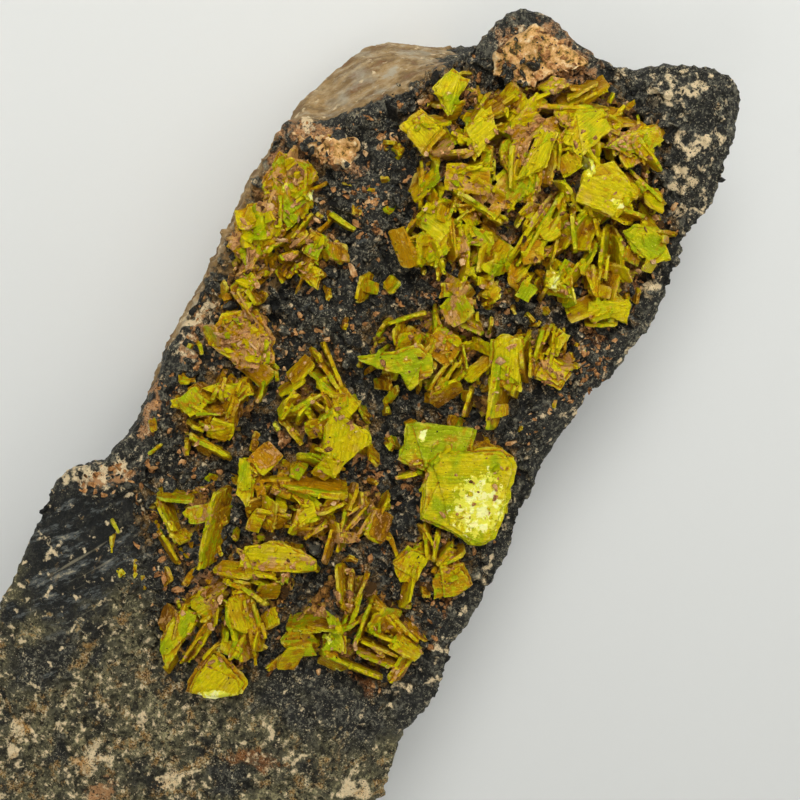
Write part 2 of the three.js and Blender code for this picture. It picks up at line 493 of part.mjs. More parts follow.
function geometryOf(body) {
  const mesh = body.getMesh();
  const geometry = new THREE.BufferGeometry();
  geometry.setAttribute("position", new THREE.BufferAttribute(Float32Array.from(mesh.vertProperties), 3));
  geometry.setIndex(new THREE.BufferAttribute(Uint32Array.from(mesh.triVerts), 1));
  geometry.computeVertexNormals();
  return geometry;
}

// Everything from the root level up to the upper face, raised by a height that may vary over the face
function groundUpTo(raise) {
  const raised = GRID.map((column) => column.map((p) => new THREE.Vector3(p.x, p.y, p.z + raise(p))));
  const low = border(raised).map((point) => new THREE.Vector3(point.x, point.y, ROOT_LEVEL));
  return solid(shell(raised, [low]));
}

function prism(outline, height) {
  const shape = new THREE.Shape(outline.map(([x, y]) => new THREE.Vector2(x, y)));
  return new THREE.ExtrudeGeometry(shape, { depth: height, bevelEnabled: false, steps: 1 });
}

// Upright plate hanging below its upper edge, with cut upper corners and a narrower root
function uprightCrystal([x1, y1, z1, x2, y2, z2, thickness, depth, lean]) {
  const start = new THREE.Vector3(x1, y1, FACE_HEIGHT + z1);
  const end = new THREE.Vector3(x2, y2, FACE_HEIGHT + z2);
  const length = start.distanceTo(end);
  const edge = end.clone().sub(start).normalize();
  const side = new THREE.Vector3(0, 0, 1).cross(edge).normalize();
  const up = edge.clone().cross(side);
  up.applyAxisAngle(edge, THREE.MathUtils.degToRad(-lean));
  const across = edge.clone().cross(up);
  const cut = CORNER_CUT * Math.min(length, depth);
  const root = ROOT_TAPER * length;
  const outline = [
    [root, -depth], [length - root, -depth], [length, -2 * cut], [length - cut, 0], [cut, 0], [0, -2 * cut],
  ];
  const geometry = prism(outline, thickness).translate(0, 0, -thickness / 2);
  const place = new THREE.Matrix4().makeBasis(edge, up, across).setPosition(start);
  return solid(geometry.applyMatrix4(place));
}

// Lying plate with a tilted upper face, on a narrower foot that reaches into the rock
function lyingCrystal([middle, alongX, alongY, thickness, outline]) {
  const corners = outline.map(([x, y]) => new THREE.Vector3(x, y, 0));
  const centre = new THREE.Box3().setFromPoints(corners).getCenter(new THREE.Vector3()).toArray();
  const rise = FACE_HEIGHT + middle - alongX * centre[0] - alongY * centre[1];
  const tilt = new THREE.Matrix4();
  tilt.set(1, 0, 0, 0, 0, 1, 0, 0, alongX, alongY, 1, rise - thickness, 0, 0, 0, 1);
  const plate = solid(prism(outline, thickness).applyMatrix4(tilt));
  const footprint = outline.map((point) =>
    point.map((value, axis) => THREE.MathUtils.lerp(centre[axis], value, FOOT_SHARE)));
  return plate.add(post(footprint, FACE_HEIGHT + middle - thickness / 2));
}

const toGap = groundUpTo(() => GAP);
const toClay = groundUpTo(({ x, y }) => GAP + CLAY_THICKNESS + CLAY_LUMPS * noise(x, y, 0, FINE_CELL));

// Solid over an outline in plan, from the root level up to a height
function post(outline, top) {
  return solid(prism(outline, top - ROOT_LEVEL).translate(0, 0, ROOT_LEVEL));
}

function clayCrust(outline) {
  return post(outline, 2 * FACE_HEIGHT - ROOT_LEVEL).intersect(toClay).subtract(toGap);
}

function crystalGroup({ crust, upright, lying }) {
  let body = post(crust, CRUST_LEVEL);
  for (const crystal of upright) body = body.add(uprightCrystal(crystal));
  for (const crystal of lying) body = body.add(lyingCrystal(crystal));
  return body.subtract(toGap);
}

// Everything beyond a broken face
function beyond([x, y, z, ...direction]) {
  const facing = new THREE.Quaternion().setFromUnitVectors(
    new THREE.Vector3(0, 0, 1), new THREE.Vector3(...direction).normalize());
  const block = new THREE.BoxGeometry(BLOCK_LENGTH, BLOCK_LENGTH, BLOCK_LENGTH);
  block.translate(0, 0, BLOCK_LENGTH / 2).applyQuaternion(facing).translate(x, y, z);
  return solid(block);
}

function rockMatrix() {
  const rim = border(GRID);
  const rings = [...WALL_DEPTHS, 1].map((depth) => rockWall(rim, depth));
  return BREAKS.reduce((body, face) => body.subtract(beyond(face)), solid(shell(GRID, rings)));
}

function namedMesh(name, geometry, material) {
  const mesh = new THREE.Mesh(geometry, material);
  mesh.name = name;
  return mesh;
}

const rock = new THREE.MeshStandardMaterial(ROCK);
const autunite = new THREE.MeshStandardMaterial(AUTUNITE);
const clay = new THREE.MeshStandardMaterial(CLAY);

const group = new THREE.Group();
group.add(namedMesh("rock_matrix", geometryOf(rockMatrix()), rock));
for (const [name, outline] of Object.entries(CLAY_CRUSTS)) {
  group.add(namedMesh(name, geometryOf(clayCrust(outline)), clay));
}
for (const [name, parts] of Object.entries(GROUPS)) {
  group.add(namedMesh(name, geometryOf(crystalGroup(parts)), autunite));
}

export default group;
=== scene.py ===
"""Looks of the autunite specimen: rock, crystal books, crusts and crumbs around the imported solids."""
import logging
import math
import random
from collections import defaultdict
from collections.abc import Iterable, Sequence
from dataclasses import dataclass, field, replace
from enum import Enum, IntEnum
from typing import Any

import bpy
import numpy as np
from mathutils import Matrix, Quaternion, Vector
from mathutils.bvhtree import BVHTree


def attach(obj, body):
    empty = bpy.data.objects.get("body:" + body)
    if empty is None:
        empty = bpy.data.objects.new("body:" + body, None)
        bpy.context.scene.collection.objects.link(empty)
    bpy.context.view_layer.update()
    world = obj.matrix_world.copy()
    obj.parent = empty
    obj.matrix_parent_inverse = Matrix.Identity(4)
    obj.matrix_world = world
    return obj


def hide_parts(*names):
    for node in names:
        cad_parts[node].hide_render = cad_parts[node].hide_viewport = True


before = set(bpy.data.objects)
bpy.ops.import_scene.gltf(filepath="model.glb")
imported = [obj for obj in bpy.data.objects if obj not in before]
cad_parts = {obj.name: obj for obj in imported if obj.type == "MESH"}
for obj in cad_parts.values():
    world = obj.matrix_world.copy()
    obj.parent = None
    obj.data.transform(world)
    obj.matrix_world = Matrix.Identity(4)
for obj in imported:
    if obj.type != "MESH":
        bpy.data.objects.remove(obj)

log = logging.getLogger("autunite")

Point = tuple[float, float]
Piece = bpy.types.Object
Material = bpy.types.Material
NodeTree = bpy.types.NodeTree
NodeSocket = bpy.types.NodeSocket
MM = 0.001
BODY = "root"

# Angles up to which edges look smooth, in degrees
CRYSTAL_ANGLE, ROCK_ANGLE, BED_ANGLE, CLAY_ANGLE = 35, 30, 50, 45

# Height of the rock's crystal-bearing face above the resting plane, in mm
FACE = 22.0

# A bed's top: share of the height of its books, and its least and greatest height in mm
BED_SHARE = 0.76
BED_HEIGHTS = (1.4, 3.0)
PLAIN_BED = 2.0

# Mixes a lattice corner's place and the noise's seed to a number that looks random
HASH_FACTORS = (73856093, 19349663, 83492791, 2654435761)
HASH_MIXER = 1274126177

# The camera: the picture's right and up on the object, and where it looks from, in mm
PICTURE_SIZE = 800
MM_PER_PIXEL = 0.076
CAMERA_DISTANCE = 220.0
STRIKE = math.radians(60)
LEAN = math.radians(8)
ORIGIN_PIXEL = (332, 447)
SENSOR_MM = 36.0


@dataclass(frozen=True)
class StandingBook:
    """A book of leaves on edge.

    Args:
        x1, y1, z1: one end of its upper edge, in mm, with z above the rock's face.
        x2, y2, z2: the other end.
        thickness: across all its leaves, in mm.
        depth: from the upper edge to the root, in mm.
        lean: how far it leans over, in degrees.
    """

    x1: float
    y1: float
    z1: float
    x2: float
    y2: float
    z2: float
    thickness: float
    depth: float
    lean: float


@dataclass(frozen=True)
class LyingPlate:
    """A book of leaves seen on its broad face.

    Args:
        middle: height of the middle of its upper face above the rock's face, in mm.
        rise_x, rise_y: how much it rises for each mm along x and y.
        thickness: across all its leaves, in mm.
        outline: corners in plan, in mm.
    """

    middle: float
    rise_x: float
    rise_y: float
    thickness: float
    outline: list[Point]


@dataclass(frozen=True)
class GroupPlan:
    """One group of grown-together crystals: its crusty bed, its books and plates, and its colour.

    Args:
        bed: outline of the bed, in mm.
        standing: rows of StandingBook values.
        lying: rows of LyingPlate values.
        hue: 0 for green leaves, 1 for golden ones.
        stain: share of brown and tan film, 0 to 1.
        filling: small books for each square mm of the bed.
    """

    bed: list[Point]
    standing: list[tuple[float, ...]]
    lying: list[tuple[Any, ...]]
    hue: float = 0.5
    stain: float = 0.3
    filling: float = 0.8

    @property
    def bed_height(self) -> float:
        """Height of the bed's top above the rock's face, in mm: over half way up the books."""
        tops = [max(row[2], row[5]) for row in self.standing] or [PLAIN_BED]
        lowest, highest = BED_HEIGHTS
        return min(max(BED_SHARE * sum(tops) / len(tops), lowest), highest)


# The groups of crystals by the names in their CAD nodes. Each crystal's place is its own.
GROUPS: dict[str, GroupPlan] = {
    "west_rosette": GroupPlan(
        bed=[(-19.8, 3), (-16, 4), (-12.3, 2.8), (-8.6, 1.2), (-8.4, -2.2), (-11, -2.6), (-15, -2.8),
            (-19.4, -2.4)],
        standing=[(-20.5, 1.9, 1.4, -15, 1.6, 2.3, 0.7, 3.6, 14),
            (-20.5, 1, 1.1, -15.6, 1.1, 2.1, 0.6, 3.4, -12),
            (-14.4, 1.3, 3.1, -17.8, -2.1, 2.3, 1, 4.4, -24), (-13.3, 0, 2.8, -17.5, -3.4, 1.9, 0.9, 4, 0),
            (-12.8, -0.6, 2.5, -15.4, -2.8, 1.9, 0.9, 4, 16),
            (-11.8, 0.4, 2.2, -11.3, -2.2, 1.7, 0.8, 3.6, 0),
            (-12.6, 0.6, 2.6, -12.9, 2.5, 1.9, 0.9, 3.4, 0), (-13.2, 1.6, 2.4, -16.4, 3.7, 1.6, 0.7, 3.4, 8)],
        lying=[(1.7, 0.06, -0.1, 0.7, [(-21.2, 2.4), (-18.5, 2.3), (-16, 2.5), (-16.2, 3.6), (-18.2, 4.2),
            (-20.2, 3.7)]), (2, 0.12, 0.05, 1, [(-21.9, 0), (-21.1, -1.9), (-20, -3.2), (-18.9, -3.2),
            (-18.4, -1.8), (-18, 0), (-20.3, 0.3)]), (2.5, 0.14, 0.1, 0.7, [(-11.2, 1.5), (-10.5, -0.3),
            (-9.5, -2.3), (-8.6, -3.5), (-7.9, -3.2), (-7.8, -1), (-8.3, 0.5), (-9.6, 1.8)])],
        hue=0.55, stain=0.5, filling=0.6),
    "north_west_books": GroupPlan(
        bed=[(-13.4, 4.8), (-12.6, 8.4), (-10, 10), (-8.2, 7.6), (-7, 6.4), (-9.4, 4.6)],
        standing=[(-13.4, 4.2, 2, -7, 6.3, 3, 1.4, 4, 18), (-13.5, 5.4, 1.7, -11.9, 8.2, 2, 0.9, 3.4, -14),
            (-12.3, 6.5, 1.9, -10, 9.8, 2.3, 0.9, 3.6, 10), (-10, 9.6, 2, -8.7, 7, 1.7, 0.8, 3.4, -8)],
        lying=[],
        hue=0.4, stain=0.5, filling=0.2),
    "south_west_fan": GroupPlan(
        bed=[(-14.8, -4.2), (-12.6, -4.4), (-7.6, -5.4), (-8, -9), (-9.6, -13.4), (-13.6, -12.8), (-14, -8)],
        standing=[(-14, -3.8, 1.8, -12.4, -6.4, 2, 0.6, 3.4, -12),
            (-10.6, -7, 2.7, -7.5, -4.6, 2.4, 0.7, 4, 10),
            (-13.9, -7, 2.7, -13.3, -12.8, 2.5, 1.2, 4.2, 10),
            (-8.2, -8.3, 2.5, -12.5, -9.1, 2.3, 0.7, 4, -6),
            (-8.3, -7.5, 2.4, -11.6, -8.2, 2.1, 0.5, 3.8, 4),
            (-12.6, -9.3, 2.7, -12.2, -13, 2.5, 0.7, 4, -6),
            (-11.6, -9.2, 2.6, -11.2, -13.3, 2.2, 0.6, 4, 4),
            (-10.6, -9.3, 2.5, -10.2, -13.4, 2, 0.8, 3.8, 8),
            (-13.5, -12.8, 2.2, -9.8, -13.7, 1.6, 0.8, 3.6, 0),
            (-9.8, -13.7, 1.7, -8.2, -8.6, 2.4, 0.8, 3.8, -10)],
        lying=[(1.5, 0.05, 0.1, 0.6, [(-15.5, -5.4), (-14.9, -4), (-13.4, -4.2), (-13.4, -6), (-14.4, -7)]),
            (2.4, -0.05, 0.1, 0.5, [(-13.7, -7), (-13, -8.6), (-11.4, -7.8), (-10.8, -5.6), (-12.2, -6.8)])],
        hue=0.38, stain=0.52, filling=0.5),
    "south_fan": GroupPlan(
        bed=[(-6, -9.6), (-4, -8.8), (-2, -9.6), (-2, -12), (-4, -13.8), (-5.8, -12.6)],
        standing=[(-3.8, -10.6, 2.1, -1.7, -8.8, 2.4, 0.5, 3.6, 8),
            (-3.7, -11, 2.1, -1.5, -10.1, 2.4, 0.5, 3.6, 4),
            (-3.6, -11.3, 2, -1.6, -11.6, 2.2, 0.5, 3.6, -4),
            (-3.7, -11.6, 1.9, -1.8, -12.8, 2, 0.5, 3.4, -8)],
        lying=[(2, 0.1, 0.06, 0.6, [(-6.3, -9.6), (-5.6, -10.7), (-3.4, -10.6), (-3.6, -8.6),
            (-5.2, -8.2)]), (1.7, 0.04, 0.14, 0.6, [(-6.2, -12.4), (-5.1, -13.9), (-3.7, -14.5),
            (-2.7, -13), (-3.5, -11.5), (-5, -11.6)])],
        hue=0.6, stain=0.5),
    "big_plates": GroupPlan(
        bed=[(0.2, -12.6), (0, -9.4), (2.6, -5.2), (5, -5), (6, -8.4), (6, -12), (3, -12.8)],
        standing=[(0.4, -5.2, 1.6, 2, -6.8, 1.9, 1.1, 3.4, 6)],
        lying=[(3, 0.06, -0.05, 1.1, [(-0.8, -12.8), (0.2, -13.7), (2.5, -13.4), (5, -12.6), (6.2, -12.1),
            (6.3, -10.8), (4, -7), (2.5, -6.9), (-0.9, -8.4), (-0.7, -11.5)]),
            (2.6, 0.05, 0.1, 0.8, [(2.3, -6.8), (2.1, -4.7), (4.8, -3.9), (5.3, -4.5), (6.9, -8.4),
            (5.3, -8.9)])],
        hue=0.22, stain=0.1, filling=0.4),
    "centre_books": GroupPlan(
        bed=[(-6.6, 3.8), (-3.8, 4.8), (-3, 1.6), (-2.4, -2.8), (-1.4, -5.2), (-4.6, -5.4), (-6.6, -3.8),
            (-6.8, -0.8)],
        standing=[(-4.5, 2.5, 3.1, -2.6, -3, 2.6, 1.3, 4.4, -14),
            (-7.2, -1.6, 1.7, -5.1, -2.4, 2, 0.7, 3.2, 0), (-7, -4.3, 1.9, -3.4, -3.1, 2.3, 0.9, 3.6, 10),
            (-5, -4, 1.9, -2.2, -4.5, 2.2, 0.6, 3.4, 0), (-5.4, -5, 1.6, -2.4, -5.1, 1.9, 0.5, 3.2, 6),
            (-4.6, -5.8, 1.6, -0.9, -5.7, 1.8, 0.6, 3.2, -6)],
        lying=[(2.1, 0.1, 0.04, 0.7, [(-7, 3.4), (-5, 3.9), (-3.7, 5), (-3.9, 5.8), (-6.6, 4.6)]),
            (1.9, 0.05, 0.08, 0.5, [(-7, -0.4), (-5.3, -1.6), (-4, -1.6), (-3.6, -0.2), (-5, -0.1)])],
        hue=0.6, stain=0.55, filling=1.1),
    "centre_star": GroupPlan(
        bed=[(-1, -0.6), (-0.6, 3.6), (1.6, 5.4), (4.6, 4.6), (6, 4.2), (3.9, 1.4), (2.6, -1.6)],
        standing=[(3.7, 1.2, 2.8, 4.3, 4.9, 2.3, 0.6, 3.8, 6), (4, 1.2, 2.7, 5.6, 4.5, 2.2, 0.5, 3.6, 0),
            (4.2, 1.2, 2.5, 7, 4.7, 2, 0.5, 3.6, -6), (0.1, 4.9, 2.6, 3.5, 2.8, 2.9, 1.3, 4, 12),
            (1.5, 5.4, 2.4, 3.7, 4.4, 2.5, 0.7, 3.6, -6), (-0.9, 2, 1.8, -0.2, 3.9, 1.8, 0.6, 3.2, 0)],
        lying=[(2.7, 0.12, 0.05, 0.8, [(-1.8, -1.3), (-0.5, -1.4), (2, -2.3), (2.7, -1.8), (2.9, 0.5),
            (3, 2.1), (1, 1.2), (-1.9, 0.2)])],
        hue=0.5, stain=0.42, filling=1.1),
    "north_blades": GroupPlan(
        bed=[(-5.4, 8.4), (-4.6, 10.4), (-2.4, 11.6), (0.2, 9.8), (2, 7), (1, 6.4), (-3.2, 7.2)],
        standing=[(-4.2, 6.3, 2.5, -4.3, 10, 2.2, 1.3, 3.8, -10), (-6, 9.2, 1.6, -4.9, 9.8, 1.7, 0.6, 3, 0),
            (0.2, 6.6, 2.2, 2.2, 7, 2.3, 0.9, 3.4, 0)],
        lying=[(1.7, 0.1, -0.1, 0.6, [(-3.5, 12.3), (-3, 11.3), (-2.2, 10), (-1.2, 10.3), (-1.4, 11.3),
            (-2.9, 12.5)]), (1.9, 0.06, 0.1, 0.6, [(-0.95, 10.7), (-0.8, 8.6), (0.8, 7.1), (1.2, 7.8),
            (0.4, 9.6)])],
        hue=0.5, stain=0.5, filling=0.9),
    "north_mass": GroupPlan(
        bed=[(3, 7.4), (2.6, 11.6), (6.6, 12.8), (9.4, 13.6), (13, 14.2), (17.4, 13.8), (17, 11.2),
            (13.2, 10.2), (13.6, 8), (11, 7.2), (9, 10.8), (6.6, 11.2), (5.6, 8.4)],
        standing=[(9.8, 12.4, 2.4, 12.3, 10.7, 2.5, 0.6, 3.4, 0),
            (12.3, 10.6, 2.5, 15.2, 10.2, 2.2, 0.6, 3.4, 6), (3, 8, 1.8, 4.6, 10.8, 2, 0.9, 3.2, 10)],
        lying=[(1.8, 0.04, 0.05, 0.9, [(2, 9), (3.2, 7.2), (5, 8), (6.2, 10.4), (5, 12.3), (2.4, 12)]),
            (1.9, 0.06, 0.12, 0.6, [(6.2, 11.4), (8.4, 11), (8.9, 12.2), (6.8, 12.8)]),
            (2, 0.03, 0.1, 0.8, [(9, 12.6), (10.4, 11.4), (12.6, 11.2), (14, 13), (13, 14.6), (9.6, 14.4)]),
            (1.9, -0.05, 0.1, 0.7, [(12.9, 11.2), (15.4, 10.4), (17.8, 12.2), (17.5, 14.4), (14.9, 14.4)]),
            (1.7, 0.1, -0.1, 0.6, [(10, 7), (11.6, 7.4), (11.6, 8.9), (10.2, 8.6)]),
            (1.8, -0.08, -0.1, 0.6, [(11.9, 8), (13.8, 8.1), (13.7, 9.6), (11.8, 9.4)])],
        hue=0.5, stain=0.7),
    "middle_plates": GroupPlan(
        bed=[(7.6, 1.2), (10.2, 1.2), (13.5, -2.4), (13.7, -5.4), (9.6, -5.8), (7.6, -4.6), (8, -1.8)],
        standing=[(9, 1.4, 1.9, 10.4, 1.3, 2.1, 0.5, 3.4, 6), (10.4, 1.2, 2.1, 12.7, -1, 2, 0.5, 3.4, 6),
            (11.4, -2.4, 1.7, 13.1, -1.5, 1.9, 0.5, 3.2, 0), (13, -2.2, 2.4, 13.3, -5.6, 2.2, 0.7, 3.6, -4),
            (7.2, -4, 1.9, 10.6, -4.1, 2, 0.5, 3.2, 8), (7.4, -4.8, 1.7, 10.7, -4.9, 1.9, 0.4, 3.2, 0),
            (8.3, -5.4, 1.8, 10.6, -5.9, 2, 0.7, 3.4, -8)],
        lying=[(2.8, 0.04, -0.12, 0.8, [(7, 1.8), (7.2, 0.2), (7.7, -1.5), (7, -2.8), (8.9, -3.6),
            (10, -2.8), (10.3, -1.8), (9.2, -0.7)])],
        hue=0.34, stain=0.3),
    "south_east_books": GroupPlan(
        bed=[(8, -9), (8.6, -7), (13, -6.4), (14.6, -9.2), (16.4, -9.6), (16, -11), (13.6, -12.4),
            (12.4, -10)],
        standing=[(7, -9.4, 2.8, 13.6, -6.6, 3.1, 1.4, 4.2, 18),
            (7, -7.3, 2.4, 9.5, -6.7, 2.2, 0.7, 3.6, 6), (13.4, -9.7, 2.5, 16.4, -9.1, 2.4, 1.1, 3.8, 6),
            (14.2, -11.4, 1.7, 14.8, -13.2, 1.6, 0.6, 3, 0)],
        lying=[(2.6, 0.06, 0.1, 0.8, [(10.6, -8.9), (11, -10.1), (14.6, -8.1), (14.2, -7), (13.4, -6.4),
            (11.5, -7.4)]), (1.9, 0.04, 0.08, 0.6, [(14.4, -10.2), (14.6, -11.2), (16.6, -11.2),
            (16.6, -10)]), (2, 0, 0.05, 1.1, [(12.6, -10.4), (12.7, -12.4), (14.2, -12.5), (14.3, -10.4)])],
        hue=0.5, stain=0.35),
    "east_mass": GroupPlan(
        bed=[(15.2, 2), (18, 3), (22.6, 5), (24.6, 7.2), (29, 6.6), (28.6, 3.4), (32, -0.4), (33.6, -4.4),
            (32.4, -9), (28.6, -10.8), (26.4, -13.6), (24.6, -13.8), (21.4, -12.6), (19.6, -13.8),
            (18, -12), (18.6, -8.4), (17.6, -6), (15.6, -5), (14.8, -2.2), (17, -0.8)],
        standing=[(16.2, 3.6, 2.2, 18.9, 3.2, 2.6, 0.8, 3.8, 8),
            (18.9, 3.2, 2.6, 22.2, 5, 2.8, 0.8, 3.8, 0), (15, 1.5, 1.9, 16.5, 2.4, 2.2, 0.7, 3.4, 0),
            (19.2, 2.2, 2.7, 21.4, 2.6, 3, 0.6, 4, -8), (19.3, 1.2, 2.9, 21, 1.4, 3.2, 0.6, 4, 0),
            (21.7, 2.2, 3.6, 21.6, -3, 3.5, 0.8, 4.8, 8), (18.4, -4.2, 3, 24.8, -4.3, 3.9, 0.6, 4.8, 10),
            (18.6, -5, 2.9, 25.6, -5, 3.9, 0.6, 4.8, 4), (18.8, -5.9, 2.7, 25, -5.9, 3.8, 0.6, 4.6, -6),
            (17.7, -11.8, 2, 19, -14, 2, 1, 3.6, -8), (19.8, -11.4, 2.6, 22.2, -10.5, 2.9, 0.7, 4, 0),
            (21.8, -10.5, 3, 24.7, -9.1, 3.3, 0.8, 4.4, 10),
            (21.8, -12.8, 2.5, 25.2, -10.4, 3, 0.8, 4.2, -8),
            (21.8, -8.4, 3.2, 24.6, -6.5, 3.6, 0.8, 4.6, 4),
            (23.4, -1.9, 3.7, 27.4, 0.3, 3.8, 0.9, 4.8, 14), (26.8, 0.9, 3.3, 30, 0.1, 3.1, 0.8, 4.4, -8),
            (30, 0, 2.9, 32.4, -4.6, 2.7, 0.8, 4.2, 12), (30.7, -1.9, 2.6, 34, -4.6, 2.3, 1, 4, -14),
            (23, 5, 3, 25, 2, 3.3, 0.9, 4.4, 8), (22.6, 2.4, 3.3, 24.4, 0.8, 3.5, 0.7, 4.6, -6),
            (26.4, -8, 3.5, 27.2, -11.8, 2.9, 0.9, 4.4, 12), (28, -9.6, 3.1, 29.4, -7.4, 3.2, 0.7, 4.4, 0)],
        lying=[(2.1, 0.05, 0.06, 0.9, [(14.2, -1.4), (15.2, -1), (16.2, -2.2), (15.2, -2.9)]),
            (2.4, 0.05, -0.1, 0.6, [(16.4, -2.1), (18.2, -3.7), (18.8, -3.3), (17.1, -1.9)]),
            (2.5, 0.1, 0.05, 0.6, [(18.6, -0.9), (19.2, -3), (20.2, -2.4), (20, -0.8)]),
            (2.5, 0.1, -0.06, 0.8, [(17.3, 0.4), (19.6, 0.2), (20, 3), (18, 2.8)]),
            (1.9, 0.04, 0.1, 0.6, [(15.8, -3.8), (15.9, -5), (17, -5), (17.2, -3.9)]),
            (2.8, 0.06, 0.1, 0.6, [(18.8, -7.5), (19, -8.6), (20.2, -8.5), (20, -7.3)]),
            (2.3, 0.08, 0.06, 0.6, [(17, -6), (17.1, -7.2), (18.4, -7.3), (18.6, -6)]),
            (2.5, 0.1, 0.12, 0.7, [(18.6, -11.4), (19, -12.9), (19.4, -14.3), (20.8, -13.8), (21, -13.3),
            (19.4, -11)]), (3.6, 0, 0.1, 0.8, [(25.4, -6.2), (25.8, -9.6), (28.2, -10), (29.4, -7.2),
            (27.6, -5.6)]), (2.6, -0.05, 0.16, 0.8, [(24.2, -12), (24.4, -14), (25.2, -14.7), (26.5, -13.3),
            (26.7, -12.3), (26, -11), (25.2, -10.6)]), (2.8, -0.1, 0.1, 0.8, [(30, -6), (31, -9.3),
            (32.7, -9.8), (33.4, -8.8), (31.8, -7)]), (3.8, 0.03, -0.06, 0.7, [(24.6, -1.7), (26.4, -3),
            (29.2, -2.4), (29, -1.2)]), (3.4, -0.06, 0.05, 1.1, [(28.5, -5), (31.4, -6), (32.3, -4.6),
            (31, -2.8), (28.8, -3.2)]), (3.5, -0.05, 0.05, 0.7, [(24.6, 1.6), (27.1, 1.3), (28.4, 2.6),
            (26, 3.5)]), (2.9, 0.04, -0.1, 0.8, [(22.8, 5.4), (25.2, 5), (25.6, 7.2), (23.6, 7.8)]),
            (2.6, -0.06, -0.06, 0.7, [(26.2, 5), (29.2, 5.1), (29.2, 6.6), (27.4, 7.1)])],
        hue=0.58, stain=0.42, filling=1.0),
}

# Single small crystals on the rock, lying or standing, away from the groups
LOOSE_CRYSTALS = GroupPlan(
    bed=[],
    standing=[(-7.5, 11.9, 0.9, -6.2, 11.4, 1, 0.4, 2, 10),
        (-15.6, 10.4, 0.7, -14.4, 11.2, 0.9, 0.4, 2, 14), (-14, 10.6, 0.8, -13.2, 11.7, 0.9, 0.3, 2, -10),
        (-9.6, -14, 0.8, -9.2, -11.5, 1, 0.4, 2, 12), (-0.9, 4.1, 1.2, -0.5, 4.8, 1.2, 0.3, 2, 0),
        (9, 9.4, 1, 9.6, 10.4, 1.1, 0.3, 2, 8), (15.3, 6.6, 1.3, 15.5, 9, 1.4, 0.5, 2.4, -8),
        (10.3, 3.9, 1.1, 12.5, 4.8, 1.3, 0.5, 2.6, 20)],
    lying=[(0.8, 0.1, 0.1, 0.3, [(-16.9, 9), (-16.3, 8.8), (-16, 9.3), (-16.6, 9.6)]),
        (0.7, -0.1, 0.05, 0.3, [(-16.4, 8), (-15.8, 7.9), (-15.8, 8.4), (-16.3, 8.5)]),
        (1.3, 0.1, 0.1, 0.3, [(2, -3.9), (2.7, -3.9), (2.9, -3.5), (2.3, -3.3)]),
        (1.2, 0.15, 0.1, 0.3, [(3.5, -0.5), (4.4, -0.2), (3.9, 0.6)]), (1.3, 0.1, -0.1, 0.3, [(28.4, -11.6),
        (29.4, -11.4), (29.2, -10.6), (28.5, -10.8)])],
    hue=0.4, stain=0.3)


def linear(code: str) -> tuple[float, float, float, float]:
    """Turns an sRGB hex colour to a linear RGBA one.

    Args:
        code: the colour, such as "#b9bd12".

    Returns:
        Red, green, blue and alpha for a shader.
    """
    shares = [int(code[i:i + 2], 16) / 255 for i in (1, 3, 5)]
    return (*(s / 12.92 if s <= 0.04045 else ((s + 0.055) / 1.055) ** 2.4 for s in shares), 1.0)


def add_node(tree: NodeTree, kind: str, settings: dict[str, Any] | None = None,
             inputs: dict[Any, Any] | None = None) -> bpy.types.Node:
    """Adds a node with its settings and its inputs.

    Args:
        tree: the material's node tree.
        kind: the node's type.
        settings: properties of the node.
        inputs: sockets to link or values to set, by the input's name or number.

    Returns:
        The node.
    """
    node = tree.nodes.new(kind)
    for name, value in (settings or {}).items():
        setattr(node, name, value)
    for key, value in (inputs or {}).items():
        if isinstance(value, NodeSocket):
            tree.links.new(value, node.inputs[key])
        else:
            node.inputs[key].default_value = value
    return node


def grain(size: float) -> float:
    """Texture scale on Object coordinates for features of a size in mm."""
    return 1 / (size * MM)


def lattice_noise(points: np.ndarray, cell: float, seed: int) -> np.ndarray:
    """Smooth noise in space.

    Args:
        points: places, in mm.
        cell: size of the noise's lattice, in mm.
        seed: picks one noise out of many.

    Returns:
        A value from 0 to 1 for each point.
    """
    base = np.floor(points / cell).astype(np.int64)
    share = points / cell - base
    share = share * share * (3 - 2 * share)
    total = np.zeros(len(points))
    for corner in np.ndindex(2, 2, 2):
        i, j, k, last = (n * factor for n, factor in zip((*(base + corner).T, seed), HASH_FACTORS))
        code = (i ^ j ^ k ^ last) & 0xFFFFFFFF
        code = (code ^ code >> 13) * HASH_MIXER & 0xFFFFFFFF
        total += np.prod(np.where(corner, share, 1 - share), axis=1) * ((code >> 8) & 0xFFFF) / 0xFFFF
    return total


def smooth(low: float, high: float, values: np.ndarray) -> np.ndarray:
    """Smooth step of values from low, where it is 0, to high, where it is 1."""
    share = np.clip((values - low) / (high - low), 0, 1)
    return share * share * (3 - 2 * share)


def sides_of(outline: list[Point]) -> Iterable[tuple[Point, Point]]:
    """The sides of an outline, each by its two ends."""
    return zip(outline, outline[1:] + outline[:1])


def inside(outline: list[Point], x: float, y: float) -> bool:
    """Whether a point lies inside an outline."""
    return sum((y1 > y) != (y2 > y) and x < x1 + (y - y1) / (y2 - y1) * (x2 - x1)
               for (x1, y1), (x2, y2) in sides_of(outline)) % 2 == 1


